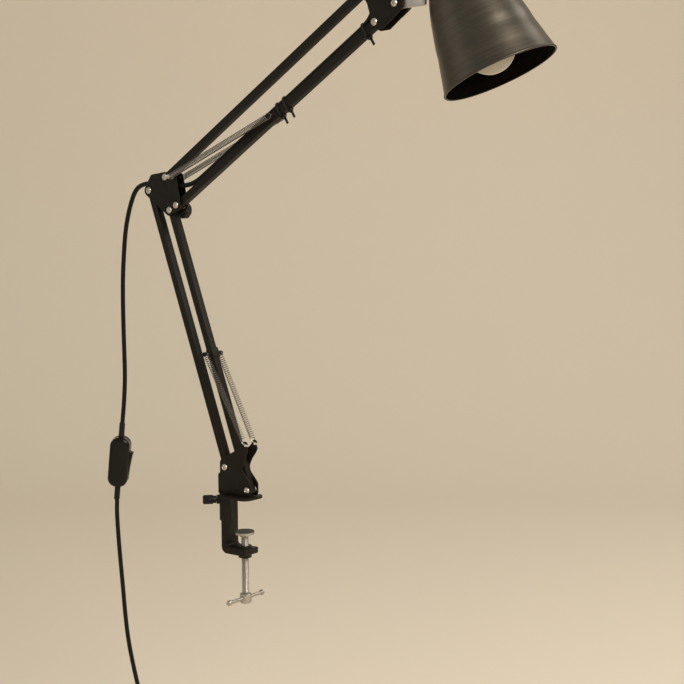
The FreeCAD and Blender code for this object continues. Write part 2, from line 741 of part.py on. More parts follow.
def yoke_plate(side):
    x, z = HOOK_EYE
    bend, high = z - 20.0, z + 20.0
    profile = [(PLATE_IN, 0), (PLATE_OUT, 0), (PLATE_OUT, bend),
               (PLATE_OUT + HOOK_SPLAY, bend + 7), (PLATE_OUT + HOOK_SPLAY, high),
               (PLATE_IN + HOOK_SPLAY, high), (PLATE_IN + HOOK_SPLAY, bend + 7), (PLATE_IN, bend)]
    points = [V(YOKE_REAR - 1, y, h) for y, h in profile]
    reach = BASE_FRONT[0] - YOKE_REAR + 20.0
    slab = Part.Face(Part.makePolygon(points + points[:1])).extrude(V(reach, 0, 0))
    flat = sheet(yoke_outline(), 0, 3 * PLATE_OUT)
    ring = cylinder(HOOK_R, (x, 0, z), (x, 3 * PLATE_OUT, z))
    eye = cylinder(HOOK_HOLE_R, (x, 0, z), (x, 3 * PLATE_OUT, z))
    slot = block((0, 0, -HOOK_SLOT / 2), (HOOK_R + 2, 3 * PLATE_OUT, HOOK_SLOT / 2))
    slot.rotate(V(0, 0, 0), ACROSS, 8)
    slot.translate(V(x, 0, z))
    plate = slab.common(flat.fuse(ring).cut([eye, slot]))
    for px, pz in (BASE_REAR, BASE_FRONT):
        plate = plate.cut(cylinder(BOLT_R + BOLT_RUN, (px, 0, pz), (px, 30, pz)))
    if side < 0:
        plate = plate.mirror(V(0, 0, 0), ACROSS)
    return plate


def base_yoke():
    floor = block((YOKE_REAR + 1.5, -PLATE_IN, YOKE_FLOOR_Z),
                  (BASE_FRONT[0] + 1.5, PLATE_IN, YOKE_FLOOR_Z + YOKE_FLOOR))
    yoke = yoke_plate(1).fuse([yoke_plate(-1), floor])
    hole = cylinder(POST_R - 1.0, (POST_X, 0, 0), (POST_X, 0, 10))
    return yoke.cut(hole).removeSplitter()


def swivel_post():
    top = YOKE_FLOOR_Z + YOKE_FLOOR
    return lathe([(0, POST_BOTTOM), (POST_R - 0.8, POST_BOTTOM), (POST_R, POST_BOTTOM + 0.8),
                  (POST_R, YOKE_FLOOR_Z), (POST_R - 1.0, YOKE_FLOOR_Z), (POST_R - 1.0, top),
                  (POST_RIVET_R, top), (POST_RIVET_R - 1.2, top + POST_RIVET),
                  (0, top + POST_RIVET)], (POST_X, 0, 0))


# ---- Elbow and head ----------------------------------------------------------------------


def elbow_outline():
    return hull([(ELBOW_REAR[0], ELBOW_REAR[1], 8.0), (ELBOW_REAR[0] + 8.0, ELBOW_REAR[1] + 17.0, 5.0), (ELBOW_TOP[0], ELBOW_TOP[1], 7.0),
                 (ELBOW_STUD[0], ELBOW_STUD[1], 6.0), (ELBOW_LOW[0], ELBOW_LOW[1], 9.0), (ELBOW_FRONT[0], ELBOW_FRONT[1], 8.0)])


def elbow_plate(side):
    low, high = sorted((side * PLATE_IN, side * PLATE_OUT))
    plate = sheet(elbow_outline(), low, high)
    holes = [cylinder(BOLT_R + BOLT_RUN, (x, -20, z), (x, 20, z)) for x, z in (ELBOW_TOP, ELBOW_REAR, ELBOW_LOW, ELBOW_FRONT)]
    x, z = ELBOW_STUD
    holes.append(cylinder(STUD_R * 0.75, (x, -20, z), (x, 20, z)))
    return plate.cut(holes)


def elbow_studs():
    """Riveted studs on the elbow's plates, which the upper springs hook round."""
    x, z = ELBOW_STUD
    made = []
    for side in (-1, 1):
        made.append(lathe([
            (0, PLATE_IN), (STUD_R * 0.75, PLATE_IN), (STUD_R * 0.75, PLATE_OUT),
            (STUD_R + 0.8, PLATE_OUT), (STUD_R + 0.8, PLATE_OUT + 1.2), (STUD_R, PLATE_OUT + 1.2),
            (STUD_R, STUD_END - STUD_HEAD), (STUD_HEAD_R, STUD_END - STUD_HEAD),
            (STUD_HEAD_R - 0.4, STUD_END), (0, STUD_END)], (x, 0, z), (0, side, 0)))
    return group(made)


def elbow_knob():
    """The friction knob on the far end of the elbow's front bolt."""
    x, z = ELBOW_FRONT
    bore_r = BOLT_R + BOLT_RUN
    knob = lathe([(bore_r, 0), (KNOB_R - 3.5, 0), (KNOB_R, 2.5), (KNOB_R, KNOB_THICK - 2.5),
                  (KNOB_R - 2.5, KNOB_THICK), (bore_r, KNOB_THICK)], (x, KNOB_START, z), (0, 1, 0))
    lobes = []
    for k in range(KNOB_LOBES):
        t = 2 * math.pi * k / KNOB_LOBES
        r = KNOB_R + 1.6
        px, pz = x + r * math.cos(t), z + r * math.sin(t)
        lobes.append(cylinder(3.4, (px, KNOB_START - 1, pz), (px, KNOB_START + 20, pz)))
    neck = pipe(5.2, bore_r, (x, PLATE_OUT + 0.3, z), (x, KNOB_START, z))
    return knob.cut(lobes).fuse(neck).removeSplitter()


def head_outline():
    ex, ez = HEAD_LOW
    tx, tz = HEAD_TOP
    fx, fz = TILT_PIVOT
    return rounded([
        (tx - 8.0, tz - 7.0, 7.0), (tx - 7.0, tz + 9.5, 7.5), (tx + 12.0, tz + 9.5, 8.0),
        (fx + 10.5, fz + 13.0, 9.5), (fx + 10.5, fz - 8.5, 8.0), (ex + 13.0, ez - 9.0, 4.0),
        (ex - 7.5, ez - 9.5, 7.5), (ex - 6.0, ez + 8.5, 9.0), (tx + 8.5, tz - 12.0, 9.0),
    ])


def head_plate(side):
    low, high = sorted((side * PLATE_IN, side * PLATE_OUT))
    plate = sheet(head_outline(), low, high)
    return plate.cut([cylinder(BOLT_R + BOLT_RUN, (x, -20, z), (x, 20, z))
                      for x, z in (HEAD_LOW, HEAD_TOP, TILT_PIVOT)])


def head_knob():
    """The wing knob on the far end of the tilt bolt."""
    x, z = TILT_PIVOT
    start = PLATE_OUT + 0.6
    bore_r = BOLT_R + BOLT_RUN
    hub = lathe([(bore_r, 0), (6.0, 0), (7.0, 1.0), (7.0, 11.0), (6.0, 12.0), (bore_r, 12.0)],
                (x, start, z), (0, 1, 0))
    wing = sheet(hull([(x - 13.0, z, 3.0), (x, z, 6.5), (x + 13.0, z, 3.0), (x, z - 0.01, 6.5)]),
                 start + 3.0, start + 12.0)
    bore = cylinder(bore_r, (x, 0, z), (x, 40, z))
    knob = hub.fuse(wing.cut(bore)).removeSplitter()
    knob.rotate(at(TILT_PIVOT), ACROSS, HEAD_KNOB_TURN)
    return knob


# ---- Shade and what it carries -----------------------------------------------------------

TILT = math.radians(SHADE_TILT)
ROLL = math.radians(SHADE_ROLL)
UPRIGHT = V(math.sin(TILT), 0, math.cos(TILT))
BOLT_LINE = V(math.cos(TILT), 0, -math.sin(TILT))
SHADE_AXIS = UPRIGHT * math.cos(ROLL) - ACROSS * math.sin(ROLL)
SWIVEL_POINT = at(SWIVEL)
MOUTH = SWIVEL_POINT - SHADE_AXIS * SWIVEL_UP


def shade_place(shape):
    """Moves a shape made upright, mouth at the origin and arm towards -X, to its place."""
    side = BOLT_LINE
    turn = FreeCAD.Rotation(side, SHADE_AXIS.cross(side), SHADE_AXIS, "ZXY")
    shape.Placement = FreeCAD.Placement(MOUTH, turn).multiply(shape.Placement)
    return shape


def shade_shell():
    """The bell: two long arcs from the rolled lip to the neck, then a flat shoulder."""
    w = SHADE_WALL
    outer = [V(MOUTH_R, 0, 0), at(BELL_MIDDLE), at(BELL_SHOULDER), at(BELL_TURN),
             V(NECK_R, 0, NECK_UP)]
    inner = [V(p.x - w, 0, p.z) for p in outer[:4]] + [V(NECK_R, 0, NECK_UP - w * 1.3)]
    hole = V(HOLDER_R + 0.5, 0, NECK_UP)
    hole_in = V(HOLDER_R + 0.5, 0, NECK_UP - w * 1.3)
    edges = [
        arc(outer[0], outer[1], outer[2]), arc(outer[2], outer[3], outer[4]),
        Part.LineSegment(outer[4], hole).toShape(), Part.LineSegment(hole, hole_in).toShape(),
        Part.LineSegment(hole_in, inner[4]).toShape(), arc(inner[4], inner[3], inner[2]),
        arc(inner[2], inner[1], inner[0]), Part.LineSegment(inner[0], outer[0]).toShape(),
    ]
    shell = Part.Face(Part.Wire(edges)).revolve(V(0, 0, 0), UP, 360)
    lip = Part.makeTorus(MOUTH_R - w / 2, LIP_R)
    return shade_place(shell.fuse(lip))


def holder_cap():
    """The closed cup over the lampholder, with cooling slots and the swivel's flat pad."""
    inner = CAP_R - CAP_WALL
    cap = lathe([(inner, NECK_UP + 0.3), (CAP_R, NECK_UP + 0.3), (CAP_R, CAP_TOP - 6),
                 (CAP_R - 1.8, CAP_TOP - 1.8), (CAP_R - 6, CAP_TOP), (4.0, CAP_TOP),
                 (4.0, CAP_TOP - CAP_WALL), (inner - 5, CAP_TOP - CAP_WALL),
                 (inner, CAP_TOP - 6)])
    pad = cylinder(SWIVEL_R, (-CAP_R - SWIVEL_PAD, 0, SWIVEL_UP), (-inner - 0.5, 0, SWIVEL_UP))
    bore = cylinder(BOLT_R + BOLT_RUN, (-CAP_R - 10, 0, SWIVEL_UP), (0, 0, SWIVEL_UP))
    slots = []
    for k in range(2, 11):
        t = math.pi * k / 6 - math.pi
        slot = block((inner - 6, -1.3, CAP_TOP - 18), (CAP_R + 2, 1.3, CAP_TOP - 8))
        slot.rotate(V(0, 0, 0), UP, math.degrees(t))
        slots.append(slot)
    return shade_place(cap.fuse(pad).cut([bore] + slots).removeSplitter())


def lampholder():
    inner = BULB_CAP_R + BULB_RUN
    return shade_place(lathe([
        (inner, HOLDER_MOUTH), (HOLDER_R, HOLDER_MOUTH), (HOLDER_R, NECK_UP + HOLDER_RISE / 2),
        (HOLDER_R - 3, NECK_UP + HOLDER_RISE), (4.0, NECK_UP + HOLDER_RISE),
        (4.0, NECK_UP + HOLDER_RISE - 4.0),
        (inner, NECK_UP + 8.0), (inner, BULB_CAP_END + 8.0), (5.0, BULB_CAP_END + 8.0),
        (5.0, BULB_CAP_END + 4.0), (inner, BULB_CAP_END + 4.0)]))


def shade_ring():
    return shade_place(lathe([
        (HOLDER_R + 0.1, NECK_UP - 9.5), (HOLDER_R + 4.0, NECK_UP - 9.5),
        (HOLDER_R + 4.0, NECK_UP - 4.5), (HOLDER_R + 6.5, NECK_UP - 3.0),
        (HOLDER_R + 6.5, NECK_UP - 1.3), (HOLDER_R + 0.1, NECK_UP - 1.3)]))


def holder_contact():
    strip = lathe([(0, BULB_CAP_END + 1.0), (3.5, BULB_CAP_END + 1.0), (3.5, BULB_CAP_END + 2.0),
                   (1.5, BULB_CAP_END + 2.2), (1.5, BULB_CAP_END + 12.0), (0, BULB_CAP_END + 12.0)])
    return shade_place(strip)


def bulb_line(inward):
    """The bulb's outline from its pole to its open neck, drawn this far inside the glass."""
    z, r = BULB_UP, BULB_R - inward
    drop = math.radians(38)
    slope = math.radians(23)
    neck = V(r * math.cos(drop), 0, z + r * math.sin(drop))
    waist = V(17.6 - inward * math.cos(slope), 0, 57.5 - inward * math.sin(slope))
    end = V(BULB_NECK_R - inward, 0, BULB_CAP_START - 1.0)
    return [V(0, 0, z - r), V(r, 0, z), neck, waist, end]


def bulb_glass():
    pole, wide, neck, waist, end = bulb_line(0)
    pole_in, wide_in, neck_in, waist_in, end_in = bulb_line(BULB_WALL)
    edges = [
        arc(pole, wide, neck), arc(neck, waist, end), Part.LineSegment(end, end_in).toShape(),
        arc(end_in, waist_in, neck_in), arc(neck_in, wide_in, pole_in),
        Part.LineSegment(pole_in, pole).toShape(),
    ]
    return shade_place(Part.Face(Part.Wire(edges)).revolve(V(0, 0, 0), UP, 360))


def bulb_cap():
    r, start, end = BULB_CAP_R, BULB_CAP_START, BULB_CAP_END
    inner = r - 2.2
    profile = [(inner, start - 1.0), (r, start - 1.0), (r, start + 1.5)]
    for k in range(5):
        z = start + 2.5 + 3.6 * k
        profile += [(r - 0.9, z), (r, z + 1.8)]
    profile += [(r - 1.2, end - 5.0), (6.0, end - 2.5), (4.5, end), (0, end)]
    profile += [(0, end - 3.5), (5.0, end - 3.7), (inner, end - 6.0)]
    return shade_place(lathe(profile))


def shade_bracket():
    """The flat L between the tilt pivot and the swivel, with a hub at each end."""
    fx, fz = TILT_PIVOT
    boss_middle = CAP_R + SWIVEL_PAD + SWIVEL_GAP + SWIVEL_BOSS / 2
    top = SWIVEL_POINT - BOLT_LINE * boss_middle
    half = BRACKET_H / 2
    corner = fx + BRACKET_CORNER
    a, b = top - BOLT_LINE * (SWIVEL_BOSS / 2), top + BOLT_LINE * (SWIVEL_BOSS / 2)
    outline = rounded([
        (fx - 2.0, fz - half, 1.0), (corner + half, fz - half, 2.5),
        (corner + half, fz + half + 4.0, 6.0), (b.x, b.z, 1.0),
        (a.x, a.z, 1.0), (corner - half + 0.5, fz + half, 5.0),
        (fx - 2.0, fz + half, 1.0)])
    bar_part = sheet(outline, -BRACKET_T / 2, BRACKET_T / 2)
    bar_part = bar_part.cut(cylinder(HEAD_R + 0.4, a - BOLT_LINE * 8, a))
    reach = PLATE_IN - SIDE_GAP
    hub = cylinder(HUB_R, (fx, -reach, fz), (fx, reach, fz))
    boss = cylinder(SWIVEL_R, a, b)
    bracket = bar_part.fuse([hub, boss])
    bores = [cylinder(BOLT_R + BOLT_RUN, (fx, -20, fz), (fx, 20, fz)),
             cylinder(BOLT_R + BOLT_RUN, a - BOLT_LINE * 10, b + BOLT_LINE * 10)]
    return bracket.cut(bores).removeSplitter()


def swivel_bolt():
    """The bolt that joins the bracket to the cap, with its head on the bracket's side."""
    far = CAP_R + SWIVEL_PAD + SWIVEL_GAP + SWIVEL_BOSS
    head = lathe([(0, 0), (HEAD_R, 0), (HEAD_R, 1.6), (HEAD_R - 1.6, HEAD_H), (0, HEAD_H)],
                 (-far - 0.2, 0, SWIVEL_UP), (-1, 0, 0))
    shank = cylinder(BOLT_R, (-far - 1, 0, SWIVEL_UP), (-CAP_R + CAP_WALL + 3.0, 0, SWIVEL_UP))
    return shade_place(head.fuse(shank).removeSplitter())


def cord_gland():
    """The tapered strain relief where the cord comes out of the cap's top."""
    bore_r = CORD_R + 0.05
    profile = [(bore_r, CAP_TOP - 4.0), (5.6, CAP_TOP - 4.0), (5.6, CAP_TOP - CAP_WALL - 0.1),
               (3.95, CAP_TOP - CAP_WALL - 0.1), (3.95, CAP_TOP + 0.1), (7.0, CAP_TOP + 0.1),
               (7.0, CAP_TOP + 2.5), (5.4, CAP_TOP + 4.0), (4.2, CAP_TOP + GLAND_RISE),
               (bore_r, CAP_TOP + GLAND_RISE)]
    return shade_place(lathe(profile))


# ---- Cord, switch, coil and plug ---------------------------------------------------------


def shade_point(up, out=0.0):
    return MOUTH + SHADE_AXIS * up - BOLT_LINE * out


def arm_point(distance):
    return at(on_bar(ELBOW_LOW, FORE_RISE, distance, CORD_LIFT))


def cord_head():
    start, rises = arm_point(FORE_LENGTH - CORD_LETS_GO), arm_point(FORE_LENGTH - CORD_RISES)
    over, end = shade_point(CAP_TOP + CORD_OVER), shade_point(CAP_TOP - 1.0)
    return cord([start, rises] + HEAD_ROUTE + [over, end], "cord_head")


def cord_on_arm():
    return cylinder(CORD_R, arm_point(CORD_FIRST_AT), arm_point(FORE_LENGTH - CORD_LETS_GO))


def cord_elbow():
    start, lifts = arm_point(CORD_FIRST_AT), arm_point(CORD_LIFTS_AT)
    return cord([start, lifts] + ELBOW_ROUTE + [LEAVES_ELBOW], "cord_elbow")


def switch_frame():
    """Origin, and the directions along the cord, to the rocker's face and across."""
    top, bottom = V(*SWITCH_TOP), V(*SWITCH_BOTTOM)
    down = (bottom - top).normalize()
    heading = math.radians(SWITCH_FACES)
    face = V(math.cos(heading), math.sin(heading), 0)
    face = (face - down * face.dot(down)).normalize()
    return (top + bottom) * 0.5, down, face, down.cross(face)


def on_switch(shape):
    """Moves a shape made with Z up the cord and the rocker on +X to its place."""
    middle, down, face, across = switch_frame()
    turn = FreeCAD.Rotation(face, across * -1, down * -1, "ZXY")
    shape.Placement = FreeCAD.Placement(middle, turn).multiply(shape.Placement)
    return shape


def switch_length():
    return (V(*SWITCH_TOP) - V(*SWITCH_BOTTOM)).Length


def switch_outline():
    """A long outline with full round ends, seen along the switch's width."""
    half, r = switch_length() / 2, SWITCH_END_R
    deep = SWITCH_DEEP / 2
    return rounded([(-deep, -half, r), (-deep, half, r), (deep, half, r), (deep, -half, r)])


def switch_half(side):
    wide = SWITCH_WIDE / 2
    low, high = sorted((side * 0.1, side * wide))
    shell = sheet(switch_outline(), low, high)
    outer = [e for e in shell.Edges
             if abs(abs(e.CenterOfMass.y) - wide) < 0.01 and e.Length > 1.0]
    shell = shell.makeFillet(SWITCH_SIDE_R, outer)
    deep = SWITCH_DEEP / 2
    pocket_wide = ROCKER_WIDE / 2 + ROCKER_GAP
    pocket_long = ROCKER_LENGTH / 2 + ROCKER_GAP
    pocket = block((deep - 12, -pocket_wide, -pocket_long - ROCKER_DROP),
                   (deep + 5, pocket_wide, pocket_long - ROCKER_DROP))
    pin_end = ROCKER_WIDE / 2 + ROCKER_PIN + 0.1
    pin_at = deep - ROCKER_PIVOT
    pins = cylinder(ROCKER_PIN_R + BOLT_RUN, (pin_at, -pin_end, -ROCKER_DROP),
                    (pin_at, pin_end, -ROCKER_DROP))
    half = switch_length() / 2
    deep_in = half - CORD_IN_SWITCH - 2.0
    passage = cylinder(CORD_R + 0.05, (0, 0, -half - 1), (0, 0, -deep_in))
    other = cylinder(CORD_R + 0.05, (0, 0, deep_in), (0, 0, half + 1))
    return on_switch(shell.cut([pocket, pins, passage, other]))


def switch_rocker():
    deep = SWITCH_DEEP / 2
    half = ROCKER_LENGTH / 2
    wide = ROCKER_WIDE / 2
    pivot = deep - ROCKER_PIVOT
    outline = rounded([(pivot - 4.0, -half * 0.4, 1.0), (pivot - 4.0, half * 0.4, 1.0),
                       (deep - 1.5, half - 0.6, 1.0), (deep + ROCKER_RISE, half - 3.0, 1.0),
                       (deep + ROCKER_RISE - 1.6, half - 4.6, 1.0), (deep + 2.0, 0, 20.0),
                       (deep + 0.2, -half + 1.2, 0.6), (deep - 1.2, -half + 0.6, 0.6)])
    pin_end = wide + ROCKER_PIN
    pins = cylinder(ROCKER_PIN_R, (pivot, -pin_end, 0), (pivot, pin_end, 0))
    rocker = sheet(outline, -wide, wide).fuse(pins).removeSplitter()
    rocker.translate(V(0, 0, -ROCKER_DROP))
    return on_switch(rocker)


def switch_relief(side):
    """A ribbed taper that holds the cord where it enters the switch."""
    half = switch_length() / 2
    profile = [(CORD_R + 0.05, half + 0.1), (5.4, half + 0.1), (5.4, half + 1.0)]
    for k in range(4):
        z = half + 2.0 + k * RELIEF * 0.22
        r = 5.2 - 0.35 * k
        profile += [(r, z), (r, z + 2.4), (r - 0.9, z + 2.6), (r - 0.9, z + 4.4)]
    profile += [(CORD_R + 0.5, half + RELIEF), (CORD_R + 0.05, half + RELIEF)]
    relief = lathe(profile)
    if side < 0:
        relief.rotate(V(0, 0, 0), V(1, 0, 0), 180)
    return on_switch(relief)


def switch_point(past, side):
    """A point on the switch's line, this far past its top (side 1) or its bottom (-1)."""
    middle, down, _, _ = switch_frame()
    return middle - down * (side * (switch_length() / 2 + past))


def cord_hanging():
    lead, end = switch_point(RELIEF + 5.0, 1), switch_point(-CORD_IN_SWITCH, 1)
    return cord([LEAVES_ELBOW] + HANG_ROUTE + [lead, end], "cord_hanging")


def coil_heading(angle):
    t = math.radians(angle)
    return V(-math.sin(t), 0, math.cos(t))


def cord_falling():
    lead = V(*COIL_IN) - coil_heading(COIL_IN_ANGLE) * 42.0
    start, tip = switch_point(-CORD_IN_SWITCH, -1), switch_point(RELIEF + 6.0, -1)
    return cord([start, tip] + FALL_ROUTE + [lead, COIL_IN], "cord_falling")


def coil_path():
    """Turns that spiral in, climb to a second layer, and spiral out again."""
    out = V(math.cos(math.radians(COIL_IN_ANGLE)), 0, math.sin(math.radians(COIL_IN_ANGLE)))
    centre = V(*COIL_IN) - out * COIL_OUTER_R
    half = COIL_QUARTERS / 2
    stations = []
    for k in range(COIL_QUARTERS + 1):
        t = math.radians(COIL_IN_ANGLE + 90.0 * k)
        layer = min(max((k - (half - 1)) / 2.0, 0.0), 1.0)
        inward = (k if k < half else COIL_QUARTERS - k) / 4.0
        r = COIL_OUTER_R - COIL_STEP * inward
        place = centre + V(r * math.cos(t), COIL_STEP * layer, r * math.sin(t))
        slope = 0.0
        if half - 1 < k < half + 1:
            slope = COIL_STEP / (math.pi * r)
        heading = (V(-math.sin(t), slope, math.cos(t))).normalize()
        stations.append((place, heading))
    edges = []
    for (p, tp), (q, tq) in zip(stations, stations[1:]):
        edges += biarc(p, tp, q, tq)
    return edges, stations[-1]


def cord_coil():
    edges, last = coil_path()
    tail = last[0] + last[1] * 10.0
    edges.append(Part.LineSegment(last[0], tail).toShape())
    solid = swept(edges, CORD_R)
    gap = least_gap(edges, CORD_R, 40.0)
    length = sum(e.Length for e in edges)
    print("cord_coil length", round(length, 1), "least gap", round(gap, 2),
          "volume share", round(solid.Volume / (math.pi * CORD_R ** 2 * length), 4))
    return solid


def coil_frame():
    """Where the cord leaves the coil, and its heading there."""
    _, last = coil_path()
    return last[0] + last[1] * 10.0, last[1]


def plug_place(shape):
    """Moves a shape made with Z back up the cord and the pins spread along Y to its place."""
    end, heading = coil_frame()
    turn = FreeCAD.Rotation(heading.cross(ACROSS) * -1, ACROSS, heading * -1, "ZXY")
    shape.Placement = FreeCAD.Placement(end, turn).multiply(shape.Placement)
    return shape


def plug_body():
    """A flat two-pin plug with a ribbed strain relief; Z = 0 is where the cord enters."""
    reach = 24.0
    relief = [(CORD_R + 0.05, -1.0), (CORD_R + 0.6, -1.0)]
    for k in range(4):
        z = -2.0 - 5.0 * k
        relief += [(3.9 + 0.35 * k, z), (3.9 + 0.35 * k, z - 3.0), (3.4 + 0.35 * k, z - 3.2),
                   (3.4 + 0.35 * k, z - 4.8)]
    relief += [(5.0, -reach), (CORD_R + 0.05, -reach)]
    tail = lathe(relief)
    deep, wide = PLUG_DEEP / 2, PLUG_WIDE / 2
    shape = rounded([(-5.5, -reach + 3, 2.0), (5.5, -reach + 3, 2.0), (wide, -reach - 9, 6.0),
                     (wide, -reach - PLUG_LENGTH, 2.5), (-wide, -reach - PLUG_LENGTH, 2.5),
                     (-wide, -reach - 9, 6.0)])
    body = sheet(shape, -deep, deep)
    rims = [e for e in body.Edges if abs(abs(e.CenterOfMass.y) - deep) < 0.01]
    body = body.makeFillet(2.0, rims)
    body.rotate(V(0, 0, 0), UP, 90)
    bore = cylinder(CORD_R + 0.05, (0, 0, 1), (0, 0, -reach - 10))
    holes = [cylinder(PIN_R, (0, y, -reach - PLUG_LENGTH - 1), (0, y, -reach - PLUG_LENGTH + 8))
             for y in (-PIN_SPACING / 2, PIN_SPACING / 2)]
    return plug_place(body.fuse(tail).cut([bore] + holes).removeSplitter())


def plug_pins():
    start = -24.0 - PLUG_LENGTH
    made = []
    for y in (-PIN_SPACING / 2, PIN_SPACING / 2):
        pin = lathe([(0, start + 8), (PIN_R, start + 8), (PIN_R, start - PIN_LENGTH + 1.5),
                     (PIN_R - 1.0, start - PIN_LENGTH), (0, start - PIN_LENGTH)], (0, y, 0))
        made.append(plug_place(pin))
    return group(made)


def coil_tie():
    """A strap round the coil's turns, on the side where the cord comes in."""
    out = V(math.cos(math.radians(COIL_IN_ANGLE)), 0, math.sin(math.radians(COIL_IN_ANGLE)))
    centre = V(*COIL_IN) - out * COIL_OUTER_R
    turns_in = (COIL_QUARTERS / 2) / 4.0
    inner = COIL_OUTER_R - COIL_STEP * turns_in - CORD_R - 0.6
    outer = COIL_OUTER_R + CORD_R + 0.6
    low, high = -CORD_R - 0.6, COIL_STEP + CORD_R + 0.6
    t = 1.0
    band = block((inner - t, low - t, -4), (outer + t, high + t, 4))
    band = band.cut(block((inner, low, -5), (outer, high, 5)))
    band.rotate(V(0, 0, 0), ACROSS, -60)
    band.translate(V(centre.x, COIL_IN[1], centre.z))
    return band


def cable_ties():
    """Ties that hold the cord down on the bar, each with its lock and a cut tail."""
    made = []
    half = BAR / 2 + 0.15
    for distance in TIE_AT:
        low, high = distance - TIE_WIDTH / 2, distance + TIE_WIDTH / 2
        wide, t = CORD_R + 0.15, TIE_THICK
        top = CORD_LIFT + 0.6
        outer = block((low, -half - t, -half - t), (high, half + t, half + t))
        inner = block((low - 1, -half, -half), (high + 1, half, half))
        neck = block((low, -wide - t, half), (high, wide + t, top))
        neck_in = block((low - 1, -wide, half - t - 1), (high + 1, wide, top))
        crown = cylinder(wide + t, (low, 0, top), (high, 0, top))
        crown_in = cylinder(wide, (low - 1, 0, top), (high + 1, 0, top))
        tie = outer.fuse([neck, crown]).cut([inner, neck_in, crown_in])
        lock = block((low - 1, -2.5, -half - t - 3.5), (high + 1, 2.5, -half - t * 0.5))
        tail = block((low, 1.0, -half - t - 3.0 - TIE_TAIL), (high, 2.2, -half - t - 1))
        tie = tie.fuse([lock, tail]).removeSplitter()
        tie.rotate(V(0, 0, 0), ACROSS, -FORE_RISE)
        tie.translate(at(ELBOW_LOW))
        made.append(tie)
    return group(made)


# ---- The nodes ---------------------------------------------------------------------------


def hook_point(side):
    """Where a lower spring's wire pulls in the yoke's hook."""
    pull = at(LOWER_STUD) - at(HOOK_EYE)
    pull = pull.normalize() * (HOOK_HOLE_R - WIRE_R - 0.1)
    return at(HOOK_EYE, side * (PLATE_IN + PLATE / 2 + HOOK_SPLAY)) + pull


def hooked_on(stud, other, side):
    """The far side of a stud, where the ring of a spring that pulls towards other lies."""
    pull = (at(other) - at(stud)).normalize()
    return at(stud, side * STUD_Y) - pull * (STUD_R + 0.1)


def lower_spring(side):
    start = hooked_on(LOWER_STUD, HOOK_EYE, side)
    end = hook_point(side)
    return spring(start, end, LOWER_TURNS, along_side(start, end), (0, side, 0), "lower_spring")


def upper_spring(side):
    start = hooked_on(ELBOW_STUD, UPPER_STUD, side)
    end = hooked_on(UPPER_STUD, ELBOW_STUD, side)
    across = along_side(start, end)
    return spring(start, end, UPPER_TURNS, across, across, "upper_spring")


def along_side(start, end):
    """The direction square to a spring and to the stud that it hooks round."""
    run = end - start
    return (run.z, 0, -run.x)


def base_bolts():
    return group([bolt(p, bolt_tail()) for p in (BASE_REAR, BASE_FRONT)])


def elbow_bolts():
    long_tail = KNOB_START + KNOB_THICK - 1.0
    return group([bolt(p, bolt_tail()) for p in (ELBOW_TOP, ELBOW_REAR, ELBOW_LOW)] + [bolt(ELBOW_FRONT, long_tail)])


def head_bolts():
    knob_tail = PLATE_OUT + 0.6 + 11.0
    return group([bolt(p, bolt_tail()) for p in (HEAD_LOW, HEAD_TOP)] + [bolt(TILT_PIVOT, knob_tail)])


